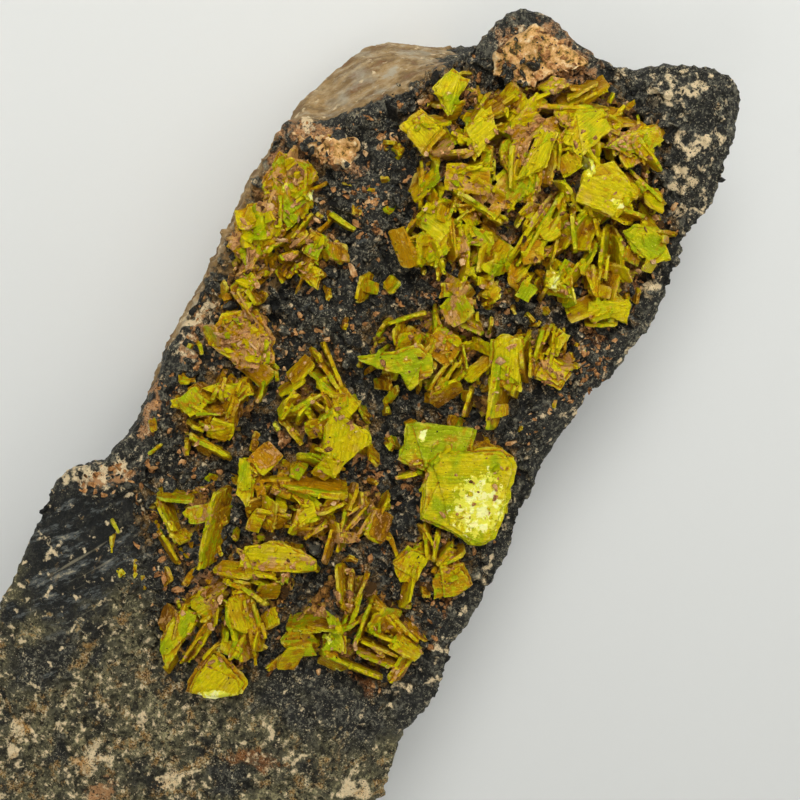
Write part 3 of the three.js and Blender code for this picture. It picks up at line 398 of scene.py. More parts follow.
def distance_to(outline: list[Point], points: np.ndarray) -> np.ndarray:
    """How far points are from an outline's area, seen from above.

    Args:
        outline: its corners, in mm.
        points: places, in mm.

    Returns:
        The distances in mm, below 0 inside the outline.
    """
    nearest = np.full(len(points), np.inf)
    crossed = np.zeros(len(points), dtype=bool)
    x, y = points[:, 0], points[:, 1]
    for (x1, y1), (x2, y2) in sides_of(outline):
        share = ((x - x1) * (x2 - x1) + (y - y1) * (y2 - y1)) / ((x2 - x1) ** 2 + (y2 - y1) ** 2)
        share = np.clip(share, 0, 1)
        nearest = np.minimum(nearest, np.hypot(x - x1 - share * (x2 - x1), y - y1 - share * (y2 - y1)))
        if y1 != y2:
            crossed ^= ((y1 > y) != (y2 > y)) & (x < x1 + (y - y1) / (y2 - y1) * (x2 - x1))
    return np.where(crossed, -nearest, nearest)


def spot_around(outline: list[Point], rng: random.Random) -> Point:
    """Draws a place in the box around an outline."""
    xs, ys = zip(*outline)
    return rng.uniform(min(xs), max(xs)), rng.uniform(min(ys), max(ys))


def area_of(outline: list[Point]) -> float:
    """Area of an outline in square mm."""
    return abs(sum(x1 * y2 - x2 * y1 for (x1, y1), (x2, y2) in sides_of(outline))) / 2


@dataclass(frozen=True)
class Patch:
    """An oval on the rock's face, by its middle, its half sizes in mm and its turn in degrees."""

    x: float
    y: float
    along: float
    across: float
    turn: float = 0.0

    def cover(self, points: np.ndarray) -> np.ndarray:
        """How far inside the oval points lie.

        Args:
            points: places, in mm.

        Returns:
            1 in its middle, 0.5 on its rim and 0 well outside.
        """
        turn = math.radians(self.turn)
        x, y = points[:, 0] - self.x, points[:, 1] - self.y
        u = (x * math.cos(turn) + y * math.sin(turn)) / self.along
        v = (y * math.cos(turn) - x * math.sin(turn)) / self.across
        return np.clip(1.5 - np.hypot(u, v), 0, 1)


def ovals(*rows: tuple[float, ...]) -> tuple[Patch, ...]:
    """Ovals from rows of their values."""
    return tuple(Patch(*row) for row in rows)


def cover_of(patches: tuple[Patch, ...], points: np.ndarray) -> np.ndarray:
    """How far inside any of some ovals points lie: 1 in a middle, 0.5 on a rim, 0 well outside."""
    return np.max([patch.cover(points) for patch in patches], axis=0)


def wandered(points: np.ndarray, wide: float, fine: float) -> np.ndarray:
    """Moves points about, so that what is drawn on them gets ragged rims.

    Args:
        points: places, in mm.
        wide: how far they move in waves of about a mm, in mm.
        fine: how far they move in the small waves on those, in mm.

    Returns:
        The moved places.
    """
    moved = points.copy()
    for axis in (0, 1):
        moved[:, axis] += wide * (lattice_noise(points, 0.9, 11 + axis) - 0.5)
        moved[:, axis] += fine * (lattice_noise(points, 0.35, 13 + axis) - 0.5)
    return moved


# Where a crystal face catches the light, and where brown and pink films coat the crystals
GLINT_PATCHES = ovals((2.2, -11.6, 2.4, 2.0, 20), (-21, -1.8, 1.9, 0.5, -55), (-14.7, -9, 0.3, 0.3),
    (-15.3, -12, 0.3, 0.4), (-7.4, -11.6, 0.3, 0.3), (-0.7, 4.4, 0.4, 0.4), (15.3, 12.9, 0.4, 0.3),
    (15.8, 11, 0.4, 0.3), (16.5, -5.3, 0.3, 0.3), (19.4, -8, 0.6, 0.6), (27, -9.2, 0.4, 0.6),
    (28.3, -5.8, 0.7, 0.5), (-12.5, -6.8, 0.4, 0.8), (4.6, -5.4, 0.5, 0.3))
FILM_PATCHES = ovals((-13.6, 2.4, 1.3, 1.1, 10), (-9.4, -0.8, 0.5, 2.8, 35), (-12.4, -11, 0.7, 2.4),
    (-6.3, -2, 1.6, 0.5, -18), (15.1, -2, 1.1, 1.1), (18.1, -1.1, 1.2, 0.6), (13.2, -4, 0.6, 2.2),
    (31.5, -7.5, 1.8, 0.7, -50), (24, 3.5, 1.8, 0.7, -55), (1.3, -5.9, 1.2, 1.2), (-1.7, 3.3, 0.9, 0.6),
    (13.4, -11.4, 1.1, 1.2), (14.7, -12.6, 0.5, 1.3), (17.2, -12.4, 1.1, 1), (10, 14.2, 1.2, 0.6),
    (13.6, 13.4, 1.2, 0.8), (3.4, 10.8, 1.6, 1.2), (29.5, -1.4, 1.6, 0.9, -60), (27.2, -0.8, 1.5, 0.8, 25),
    (22.4, 0.2, 0.7, 2.6, 5), (24.6, -4, 2.2, 0.9), (32.4, 0.4, 1.5, 2.4), (-9, 6, 0.9, 0.7, 30),
    (-4.4, -4.6, 2.4, 0.8, 5), (4.4, 9.4, 2.6, 2.2), (16.6, 13.4, 2.4, 1.2), (9, 12.6, 1.6, 1.0))


def deselect_all() -> None:
    """Leaves nothing selected."""
    for thing in bpy.context.selected_objects:
        thing.select_set(False)


def work_on(piece: Piece) -> None:
    """Makes one piece the only selected and the active one."""
    deselect_all()
    piece.select_set(True)
    bpy.context.view_layer.objects.active = piece


def apply_modifier(piece: Piece, kind: str, **settings: Any) -> None:
    """Adds a modifier to the piece that is worked on and applies it.

    Args:
        piece: the piece.
        kind: the modifier's type.
        settings: its properties.
    """
    modifier = piece.modifiers.new(kind.lower(), kind)
    for name, value in settings.items():
        setattr(modifier, name, value)
    bpy.ops.object.modifier_apply(modifier=modifier.name)


def places_of(piece: Piece) -> np.ndarray:
    """Vertex places of a piece in mm, one row each."""
    places = np.empty(len(piece.data.vertices) * 3)
    piece.data.vertices.foreach_get("co", places)
    return places.reshape(-1, 3) / MM


def copy_of_node(node: str, name: str) -> Piece:
    """Copies a CAD node with its doubles merged.

    Args:
        node: the node's name.
        name: the copy's name.

    Returns:
        The copy, selected and active.
    """
    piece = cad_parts[node].copy()
    piece.data = piece.data.copy()
    piece.name = name
    piece.parent = None
    for key in list(piece.keys()):
        del piece[key]
    piece.data.materials.clear()
    bpy.context.collection.objects.link(piece)
    work_on(piece)
    bpy.ops.object.mode_set(mode="EDIT")
    bpy.ops.mesh.select_all(action="SELECT")
    bpy.ops.mesh.remove_doubles(threshold=0.001 * MM)
    bpy.ops.mesh.customdata_custom_splitnormals_clear()
    bpy.ops.object.mode_set(mode="OBJECT")
    return piece


def write_values(piece: Piece, name: str, values: np.ndarray) -> None:
    """Writes a value for each vertex of a piece."""
    attribute = piece.data.attributes.new(name, "FLOAT", "POINT")
    attribute.data.foreach_set("value", values.astype(np.float32))


def mark_creases(piece: Piece, rounds: int = 2) -> None:
    """Writes how far each vertex lies in a crease: above 0 in pits, below 0 on edges and grains.

    Args:
        piece: the piece.
        rounds: how often the values are evened out among neighbours.
    """
    mesh = piece.data
    places = places_of(piece)
    ends = np.empty(2 * len(mesh.edges), dtype=np.int64)
    mesh.edges.foreach_get("vertices", ends)
    normals = np.empty(3 * len(places))
    mesh.vertex_normals.foreach_get("vector", normals)
    first, second = ends.reshape(-1, 2).T
    count = np.maximum(np.bincount(ends, minlength=len(places)), 1)

    def around(values: np.ndarray) -> np.ndarray:
        """Mean of the values of each vertex's neighbours."""
        total = np.bincount(first, values[second], len(places))
        return (total + np.bincount(second, values[first], len(places))) / count

    middles = np.stack([around(places[:, axis]) for axis in range(3)], axis=1)
    lengths = np.linalg.norm(places[first] - places[second], axis=1).mean()
    depth = np.sum((middles - places) * normals.reshape(-1, 3), axis=1) / lengths
    for _ in range(rounds):
        depth = (depth + around(depth)) / 2
    write_values(piece, "crease", depth / max(depth.std(), 1e-6))


def hand_over(piece: Piece, material: Material, slot: str, *nodes: str) -> Piece:
    """Dresses a finished piece, lets it ride on the body and reports it.

    Args:
        piece: the finished piece.
        material: its material.
        slot: not used.
        nodes: CAD nodes that it stands for.

    Returns:
        The piece.
    """
    piece.data.materials.clear()
    piece.data.materials.append(material)
    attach(piece, BODY)
    if nodes:
        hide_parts(*nodes)
    log.info("%s: %d faces", piece.name, len(piece.data.polygons))
    return piece


class Seed(IntEnum):
    """Where each kind of random choices starts."""

    SHAPES = 7
    DARK = 31
    TAN = 32
    SHARDS = 33
    FLAKES = 34
    LOOSE = 90
    GROUPS = 100


class ReliefKind(Enum):
    """What a layer of relief looks like: soft lumps or pebbly chips."""

    LUMPS = "CLOUDS"
    CHIPS = "VORONOI"


@dataclass(frozen=True)
class Relief:
    """One layer of surface relief, with its grain size and height in mm."""

    kind: ReliefKind
    size: float
    height: float

    def press(self, piece: Piece, group: str = "") -> None:
        """Presses the relief into the piece that is worked on.

        Args:
            piece: the piece.
            group: name of the vertex group that weighs the relief, or nothing.
        """
        texture = bpy.data.textures.new(f"{self.kind.name.lower()}_{self.size}", self.kind.value)
        texture.noise_scale = self.size * MM
        if self.kind is ReliefKind.CHIPS:
            texture.distance_metric = "MANHATTAN"
        rise = -self.height if self.kind is ReliefKind.CHIPS else self.height
        apply_modifier(piece, "DISPLACE", texture=texture, texture_coords="LOCAL", strength=rise * MM,
                       mid_level=0.5, vertex_group=group)


def press_all(piece: Piece, reliefs: tuple[Relief, ...], group: str = "") -> None:
    """Presses reliefs into the piece that is worked on, one after the other."""
    for relief in reliefs:
        relief.press(piece, group)


def grow_together(piece: Piece, voxel: float, face_limit: int,
                  reliefs: tuple[Relief, ...]) -> None:
    """Makes one skin of overlapping shapes, keeping their values, and roughens it.

    Args:
        piece: the piece.
        voxel: size of its mesh, in mm.
        face_limit: most triangles that it keeps.
        reliefs: its relief.
    """
    work_on(piece)
    piece.data.remesh_voxel_size = voxel * MM
    piece.data.use_remesh_preserve_attributes = True
    bpy.ops.object.voxel_remesh()
    press_all(piece, reliefs)
    triangles = 2 * len(piece.data.polygons)
    if triangles > face_limit:
        apply_modifier(piece, "DECIMATE", ratio=face_limit / triangles)
    bpy.ops.object.shade_smooth_by_angle(angle=math.radians(CRYSTAL_ANGLE))
    mark_creases(piece)


def make_crumbly(piece: Piece, voxel: float, reliefs: tuple[Relief, ...],
                 smooth_to: float) -> None:
    """Remeshes the piece that is worked on and roughens it.

    Args:
        piece: the piece.
        voxel: size of its mesh, in mm.
        reliefs: its relief.
        smooth_to: angle up to which edges look smooth, in degrees.
    """
    apply_modifier(piece, "REMESH", mode="VOXEL", voxel_size=voxel * MM)
    press_all(piece, reliefs)
    bpy.ops.object.shade_smooth_by_angle(angle=math.radians(smooth_to))
    mark_creases(piece)


def model_outline(name: str, outline: list[Point], height: float, scale: float = 1.0) -> Piece:
    """Starts a piece as the flat area of an outline, in edit mode with all selected.

    Args:
        name: its name.
        outline: its corners.
        height: its height.
        scale: length of a unit of these values.

    Returns:
        The piece.
    """
    deselect_all()
    bpy.ops.mesh.primitive_circle_add(vertices=len(outline), radius=1, fill_type="NGON")
    piece = bpy.context.object
    piece.name = name
    for vertex, (x, y) in zip(piece.data.vertices, outline):
        vertex.co = Vector((x, y, height)) * scale
    bpy.ops.object.mode_set(mode="EDIT")
    bpy.ops.mesh.select_all(action="SELECT")
    return piece


def close_up() -> None:
    """Turns all faces of the piece in edit mode outwards and leaves edit mode."""
    bpy.ops.mesh.select_all(action="SELECT")
    bpy.ops.mesh.normals_make_consistent(inside=False)
    bpy.ops.object.mode_set(mode="OBJECT")


@dataclass
class Shape:
    """A modelled shape that is copied: its points and its faces."""

    points: np.ndarray
    faces: list[tuple[int, ...]]


@dataclass
class Cluster:
    """Copies of shapes that grow into one mesh, with values for each face.

    Args:
        name: name of the piece.
        bend: how far its points wander from their places, in mm.
        gap: how far apart the shapes' own places lie for the leaf texture, in mm.
    """

    name: str
    bend: float = 0.13
    gap: float = 3.7
    points: list[np.ndarray] = field(default_factory=list)
    frames: list[np.ndarray] = field(default_factory=list)
    faces: list[tuple[int, ...]] = field(default_factory=list)
    values: dict[str, list[np.ndarray]] = field(default_factory=lambda: defaultdict(list))
    count: int = 0

    def add(self, shape: Shape, place: Matrix, **values: float) -> None:
        """Adds a copy of a shape.

        Args:
            shape: the modelled shape.
            place: where it goes, in mm.
            values: values that all its faces get.
        """
        matrix = np.array(place)
        self.points.append(shape.points @ matrix[:3, :3].T + matrix[:3, 3])
        self.values["number"].append(np.full(len(shape.faces), len(self.frames)))
        self.frames.append(np.column_stack((matrix[:3, :3] / np.linalg.norm(matrix[:3, :3], axis=0),
                                            matrix[:3, 3])))
        self.faces.extend(tuple(i + self.count for i in face) for face in shape.faces)
        self.count += len(shape.points)
        for name, value in values.items():
            self.values[name].append(np.full(len(shape.faces), value))

    def build(self) -> Piece:
        """Makes the mesh, in metres, with its attributes.

        Returns:
            The new piece.
        """
        points = np.concatenate(self.points)
        bends = [lattice_noise(points, 1.1, 21 + axis) + 0.4 * lattice_noise(points, 0.4, 24 + axis)
                 for axis in range(3)]
        points += self.bend * (np.stack(bends, axis=1) - 0.7)
        mesh = bpy.data.meshes.new(self.name)
        mesh.from_pydata(points * MM, [], self.faces)
        for name, chunks in self.values.items():
            attribute = mesh.attributes.new(name, "FLOAT", "FACE")
            attribute.data.foreach_set("value", np.concatenate(chunks).astype(np.float32))
        piece = bpy.data.objects.new(self.name, mesh)
        bpy.context.collection.objects.link(piece)
        return piece

    def mark_places(self, piece: Piece) -> None:
        """Writes for each corner its place within its own shape, in mm, with a gap between shapes.

        Args:
            piece: the piece that the shapes have grown into.
        """
        mesh = piece.data
        number, count = np.empty(len(mesh.polygons)), np.empty(len(mesh.polygons), dtype=np.int64)
        mesh.attributes["number"].data.foreach_get("value", number)
        mesh.polygons.foreach_get("loop_total", count)
        number = np.repeat(np.round(number).astype(np.int64), count)
        corners = np.empty(len(mesh.loops), dtype=np.int64)
        mesh.loops.foreach_get("vertex_index", corners)
        frames = np.array(self.frames)[number]
        away = places_of(piece)[corners] - frames[:, :, 3]
        inner = np.einsum("nij,ni->nj", frames[:, :, :3], away)
        inner[:, 2] += self.gap * number
        attribute = mesh.attributes.new("leaf", "FLOAT_VECTOR", "CORNER")
        attribute.data.foreach_set("vector", inner.astype(np.float32).ravel())


@dataclass
class Bench:
    """Models the shapes that are copied: crystal leaves with broken rims, and crumbs.

    Args:
        rng: source of its random choices.
        leaf_count: number of different leaves.
        crumb_count: number of different crumbs.
    """

    rng: random.Random
    leaf_count: int = 18
    crumb_count: int = 10
    leaves: list[Shape] = field(default_factory=list)
    crumbs: list[Shape] = field(default_factory=list)

    def __post_init__(self) -> None:
        """Models every leaf and crumb."""
        self.leaves = [self.plate(self.leaf_outline(), 1.0, -0.5) for _ in range(self.leaf_count)]
        self.crumbs = [self.crumb() for _ in range(self.crumb_count)]

    def take(self, piece: Piece) -> Shape:
        """Reads a modelled piece as a shape and puts the piece away.

        Args:
            piece: the piece.

        Returns:
            The shape.
        """
        mesh = piece.data
        shape = Shape(np.array([vertex.co for vertex in mesh.vertices]),
                      [tuple(face.vertices) for face in mesh.polygons])
        bpy.data.objects.remove(piece)
        bpy.data.meshes.remove(mesh)
        return shape

    def plate(self, outline: list[Point], thickness: float, floor: float = 0.0,
              breaks: Sequence[tuple[float, ...]] = ()) -> Shape:
        """Models a plate from its outline.

        Args:
            outline: its corners, in any order of turning.
            thickness: its thickness.
            floor: height of its lower face.
            breaks: lines that it is broken off along, as x, y and the direction that is lost.

        Returns:
            The plate.
        """
        piece = model_outline("plate", outline, floor)
        for x, y, away_x, away_y in breaks:
            bpy.ops.mesh.bisect(plane_co=(x, y, 0), plane_no=(away_x, away_y, 0), clear_outer=True)
            bpy.ops.mesh.select_all(action="SELECT")
        bpy.ops.mesh.extrude_region_move(TRANSFORM_OT_translate={"value": (0, 0, thickness)})
        close_up()
        return self.take(piece)

    def leaf_outline(self) -> list[Point]:
        """Draws a leaf one wide and one deep.

        Returns:
            Its outline: ragged above, with corners broken off, and narrower at its root.
        """
        rng = self.rng
        left, left_drop = rng.uniform(0.02, 0.3), rng.uniform(0.1, 0.55)
        right, right_drop = rng.uniform(0.02, 0.3), rng.uniform(0.1, 0.55)
        step = rng.uniform(0.3, 0.7)
        drop = rng.choice((0, 0.08, 0.16)) * rng.choice((-1, 1))
        upper = [
            (share + rng.uniform(-0.03, 0.03),
             -rng.uniform(0, 0.05) - (max(drop, 0) if share > step else max(-drop, 0)))
            for share in np.linspace(left, 1 - right, rng.randint(4, 7))
        ]
        return [
            (0.06, -1.0), (rng.uniform(0, 0.04), -rng.uniform(0.6, 0.8)),
            (rng.uniform(0, 0.03), -left_drop), (left * 0.4, -left_drop * rng.uniform(0.3, 0.6)), *upper,
            (1 - right * 0.4, -right_drop * rng.uniform(0.3, 0.6)), (1 - rng.uniform(0, 0.03), -right_drop),
            (1 - rng.uniform(0, 0.04), -rng.uniform(0.6, 0.8)), (0.92, -1.0),
        ]

    def crumb(self) -> Shape:
        """Models a crumb one across.

        Returns:
            The crumb: a ball of few faces with three sides broken flat.
        """
        deselect_all()
        bpy.ops.mesh.primitive_ico_sphere_add(subdivisions=1, radius=0.7)
        piece = bpy.context.object
        for vertex in piece.data.vertices:
            vertex.co *= self.rng.uniform(0.6, 1.2)
        bpy.ops.object.mode_set(mode="EDIT")
        for _ in range(3):
            away = Vector([self.rng.gauss(0, 1) for _ in range(3)]).normalized()
            bpy.ops.mesh.select_all(action="SELECT")
            bpy.ops.mesh.bisect(plane_co=away * self.rng.uniform(0.15, 0.35), plane_no=away, use_fill=True,
                                clear_outer=True)
        bpy.ops.object.mode_set(mode="OBJECT")
        return self.take(piece)

    def chipped(self, outline: list[Point], pitch: float = 0.4, bite: float = 0.06) -> list[Point]:
        """Breaks the rim of an outline into small straight lengths, chipped inwards here and there.

        Args:
            outline: corners, in mm.
            pitch: length of the small lengths, in mm.
            bite: usual depth of a chip, in mm.

        Returns:
            The broken outline.
        """
        middle = np.mean(outline, axis=0)
        chipped = []
        wander = 0.0
        for start, end in sides_of(outline):
            count = max(1, round(math.dist(start, end) / pitch))
            for i in range(count):
                point = np.add(start, np.subtract(end, start) * i / count)
                wander = 0.7 * wander + self.rng.gauss(0, bite)
                deep = abs(wander) + bite * self.rng.random() * (4 if self.rng.random() < 0.12 else 1)
                inward = middle - point
                chipped.append(tuple(point + inward / max(np.linalg.norm(inward), deep) * deep))
        return chipped


@dataclass
class CrystalGroup:
    """A group of autunite crystals: books of thin leaves, and the small books between them.

    Args:
        name: name of the group, as in its CAD node.
        plan: its crystals.
        bench: where its leaves are modelled.
        rng: source of its random choices.
        leaf_pitch, plate_pitch: thickness of a leaf on edge and of a lying one, in mm.
        swell: how much thicker its books are than the solids that they stand for.
        odd_share: share of the leaves that are stained or broken more than the rest.
        overlap: how much thicker a leaf of a lying book is than its pitch.
        voxel: size of its mesh, in mm.
        face_limit: most triangles that it keeps.
        reliefs: relief of its skin.
    """

    name: str
    plan: GroupPlan
    bench: Bench
    rng: random.Random
    leaf_pitch: float = 0.2
    plate_pitch: float = 0.18
    swell: float = 1.35
    odd_share: float = 0.14
    overlap: float = 1.05
    voxel: float = 0.095
    face_limit: int = 190_000
    reliefs: tuple[Relief, ...] = (Relief(ReliefKind.LUMPS, 0.8, 0.14), Relief(ReliefKind.LUMPS, 0.3, 0.1))

    def __post_init__(self) -> None:
        """Starts the group's mesh and reads its rows."""
        self.cluster = Cluster(f"{self.name}_crystals")
        self.books = [StandingBook(*row) for row in self.plan.standing]
        self.books = [replace(book, thickness=book.thickness * self.swell) for book in self.books]
        self.plates = [LyingPlate(*row) for row in self.plan.lying]

    def tint(self) -> tuple[float, float]:
        """Draws the colour of one leaf.

        Returns:
            Its hue and its stain.
        """
        stain = self.plan.stain * 0.6 + self.rng.gauss(0, 0.12)
        if self.rng.random() < self.odd_share:
            stain += 0.4
        return self.plan.hue + self.rng.gauss(-0.05, 0.34), min(max(stain, 0), 1)

    def stand(self, book: StandingBook, stained: float = 0.0) -> None:
        """Grows a book of leaves on edge, which spread a little from their root.

        Args:
            book: its sizes and place.
            stained: stain on top of what its leaves have.
        """
        rng = self.rng
        start = Vector((book.x1, book.y1, FACE + book.z1))
        end = Vector((book.x2, book.y2, FACE + book.z2))
        length = (end - start).length
        edge = (end - start).normalized()
        upright = edge.cross(Vector((0, 0, 1)).cross(edge).normalized())
        leaves = max(2, round(book.thickness / self.leaf_pitch))
        spread = math.degrees(math.atan2(book.thickness / 2, book.depth))
        for i in range(leaves):
            side = (i + 0.5) / leaves - 0.5
            turn = math.radians(-book.lean - spread * side + rng.gauss(0, 0.5))
            up = Quaternion(edge, turn) @ upright
            base = Quaternion(edge, math.radians(-book.lean)) @ upright
            run = Quaternion(up, math.radians(rng.gauss(0, 0.9))) @ edge
            across = run.cross(up)
            # Outer leaves are shorter, and some are broken off lower down
            short = (rng.uniform(0, 0.14) + rng.uniform(0.1, 0.5) * abs(2 * side) ** 1.5) * length
            drop = abs(rng.gauss(0, 0.1)) + (0.4 if rng.random() < self.odd_share else 0)
            root = start - base * book.depth + base.cross(edge) * (-side * book.thickness / 2)
            corner = root + up * (book.depth - drop) + edge * rng.uniform(0, short)
            thick = book.thickness / leaves * rng.uniform(0.9, 1.4)
            place = Matrix((run * (length - short), up * book.depth, across * thick)).transposed().to_4x4()
            place.translation = corner
            # Half of them are turned round, so that an outline isn't always seen one way
            if rng.random() < 0.5:
                place = place @ Matrix.Translation((1, 0, 0)) @ Matrix.Rotation(math.pi, 4, "Y")
            hue, stain = self.tint()
            self.cluster.add(rng.choice(self.bench.leaves), place, hue=hue, stain=stain + stained)

    def lay(self, plate: LyingPlate) -> None:
        """Grows a book seen on its broad face, in steps where leaves have broken off.

        Args:
            plate: its sizes and place.
        """
        rng = self.rng
        leaves = max(2, round(plate.thickness / self.plate_pitch))
        thick = plate.thickness / leaves
        corners = np.array(plate.outline)
        middle = (corners.min(0) + corners.max(0)) / 2
        sides = np.roll(corners, -1, axis=0) - corners
        longest = sides[np.argmax(np.linalg.norm(sides, axis=1))]
        turn = math.atan2(longest[1], longest[0])
        back = Matrix.Rotation(turn, 3, "Z")
        hue = self.plan.hue + rng.gauss(-0.2, 0.2)
        stain = max(self.plan.stain * 0.4 + rng.gauss(0, 0.1), 0)
        for i in range(leaves):
            # Leaves further down slip out, grow wider and are more stained, and the top ones are broken off
            below = leaves - 1 - i
            slip = np.array([rng.gauss(0, 0.05), rng.gauss(0, 0.05)]) * min(below, 3)
            size = 1 + rng.uniform(-0.01, 0.035) * min(below, 3)
            outline = [tuple((Vector((*(p - middle) * size + slip, 0)) @ back)[:2]) for p in corners]
            breaks = []
            for _ in range(max(2 - below, 0) if area_of(plate.outline) > 2 else 0):
                reach = np.max(np.abs(np.array(outline)), axis=0)
                away = rng.uniform(0, 2 * math.pi)
                x, y = reach * (math.cos(away), math.sin(away)) * rng.uniform(0.3, 0.75)
                breaks.append((x, y, math.cos(away), math.sin(away)))
            shape = self.bench.plate(self.bench.chipped(outline), thick * self.overlap, 0.0, breaks)
            tilt = Matrix.Identity(4)
            tilt[2][0], tilt[2][1] = plate.rise_x, plate.rise_y
            height = FACE + plate.middle - below * thick - thick
            place = Matrix.Translation((*middle, height)) @ tilt @ back.to_4x4()
            self.cluster.add(shape, place, hue=hue + rng.gauss(0, 0.12),
                             stain=min(max(stain + below * 0.1 + rng.gauss(0, 0.12), 0), 1))

    def prop(self, plate: LyingPlate) -> None:
        """Stands small books under a lying plate, which carry it, and others that cross its rim.

        Args:
            plate: the plate.
        """
        corners = np.array(plate.outline)
        middle = (corners.min(0) + corners.max(0)) / 2
        # Each is a spot on the rim, how far out towards it the book stands, and how high above the plate
        places = [(corner, self.rng.uniform(0.3, 0.7), plate.thickness * -0.7) for corner in corners[::2]]
        for start, end in zip(corners, np.roll(corners, -1, axis=0)):
            if self.rng.random() < 0.45 * self.plan.filling:
                spot = start + (end - start) * self.rng.uniform(0.2, 0.8)
                if inside(self.plan.bed, *spot):
                    places.append((spot, self.rng.uniform(0.85, 1.0), self.rng.uniform(-0.1, 0.5)))
        for spot, reach, above in places:
            x, y = middle + (spot - middle) * reach
            top = plate.middle + above + plate.rise_x * (x - middle[0]) + plate.rise_y * (y - middle[1])
            self.small_book(x, y, top, self.rng.uniform(0.9, 1.9), top + 1.0, 10)

    def small_book(self, x: float, y: float, top: float, length: float, depth: float,
                   slant: float = 30) -> None:
        """Stands one small book, turned nearly as the nearest crystal is.

        Args:
            x, y: its middle, in mm.
            top: height of its upper edge above the rock's face, in mm.
            length: length of its upper edge, in mm.
            depth: from there to its root, in mm.
            slant: how far such books usually lean, in degrees.
        """
        rng = self.rng
        near = min(self.books, default=None,
                   key=lambda book: math.hypot((book.x1 + book.x2) / 2 - x, (book.y1 + book.y2) / 2 - y))
        turn = math.atan2(near.y2 - near.y1, near.x2 - near.x1) if near else 0.0
        turn += rng.gauss(0, 0.4)
        half_x, half_y = math.cos(turn) * length / 2, math.sin(turn) * length / 2
        tip = rng.gauss(0, 0.15) * length
        lean = rng.gauss(0, slant)
        self.stand(StandingBook(x - half_x, y - half_y, top - tip, x + half_x, y + half_y, top + tip,
                                rng.uniform(0.3, 0.75), depth, lean), rng.uniform(0, 0.4))

    def fill(self) -> None:
        """Grows small books all over the bed, lower than the crystals that the plan gives."""
        rng = self.rng
        wanted = round(area_of(self.plan.bed) * self.plan.filling * 0.8)
        while wanted:
            x, y = spot_around(self.plan.bed, rng)
            if inside(self.plan.bed, x, y):
                wanted -= 1
                top = self.plan.bed_height + rng.uniform(-0.1, 1.0)
                self.small_book(x, y, top, rng.triangular(0.6, 3.8, 1.4), rng.uniform(1.4, 2.4))

    def scatter(self, outline: list[Point], count: int) -> None:
        """Grows single small books on the rock, outside all beds.

        Args:
            outline: where they may stand, in mm.
            count: how many places are tried.
        """
        for _ in range(count):
            x, y = spot_around(outline, self.rng)
            length, top = self.rng.triangular(0.4, 1.6, 0.6), self.rng.uniform(0.3, 1.0)
            if inside(outline, x, y) and not any(inside(plan.bed, x, y) for plan in GROUPS.values()):
                self.small_book(x, y, top, length, 1.8)

    def build(self, material: Material) -> Piece:
        """Grows the whole group.

        Args:
            material: the autunite.

        Returns:
            The finished piece.
        """
        for book in self.books:
            self.stand(book)
        for plate in self.plates:
            self.lay(plate)
            self.prop(plate)
        nodes = ()
        if self.plan.bed:
            self.fill()
            nodes = (f"autunite_{self.name}",)
        piece = self.cluster.build()
        grow_together(piece, self.voxel, self.face_limit, self.reliefs)
        self.cluster.mark_places(piece)
        places = wandered(places_of(piece), 0.7, 0.385)
        for name, patches in (("glint", GLINT_PATCHES), ("film", FILM_PATCHES)):
            write_values(piece, name, cover_of(patches, places))
        return hand_over(piece, material, "autunite", *nodes)


@dataclass
class CrystalBed:
    """The crumbly crust that a group of crystals grows from.

    Args:
        name: name of the group.
        outline: its outline, in mm.
        height: of its top above the rock's face, in mm.
        root: depth of its foot under that face, in mm.
        slope: width of its sloping rim, in mm.
        voxel: size of its mesh, in mm.
        reliefs: its relief.
    """

    name: str
    outline: list[Point]
    height: float
    root: float = 1.6
    slope: float = 1.0
    voxel: float = 0.22
    reliefs: tuple[Relief, ...] = (
        Relief(ReliefKind.LUMPS, 1.6, 1.0), Relief(ReliefKind.CHIPS, 0.7, 0.6),
        Relief(ReliefKind.LUMPS, 0.3, 0.3))

    def build(self, material: Material) -> Piece:
        """Models the bed: its outline raised, its top drawn in, then roughened.

        Args:
            material: its finish.

        Returns:
            The finished piece.
        """
        piece = model_outline(f"{self.name}_bed", self.outline, FACE - self.root, MM)
        rise = (self.root + self.height / 3) * MM
        bpy.ops.mesh.extrude_region_move(TRANSFORM_OT_translate={"value": (0, 0, rise)})
        bpy.ops.mesh.inset(thickness=self.slope * MM / 2, depth=self.height * MM * 2 / 3)
        close_up()
        make_crumbly(piece, self.voxel, self.reliefs, BED_ANGLE)
        return hand_over(piece, material, "clay", f"autunite_{self.name}")


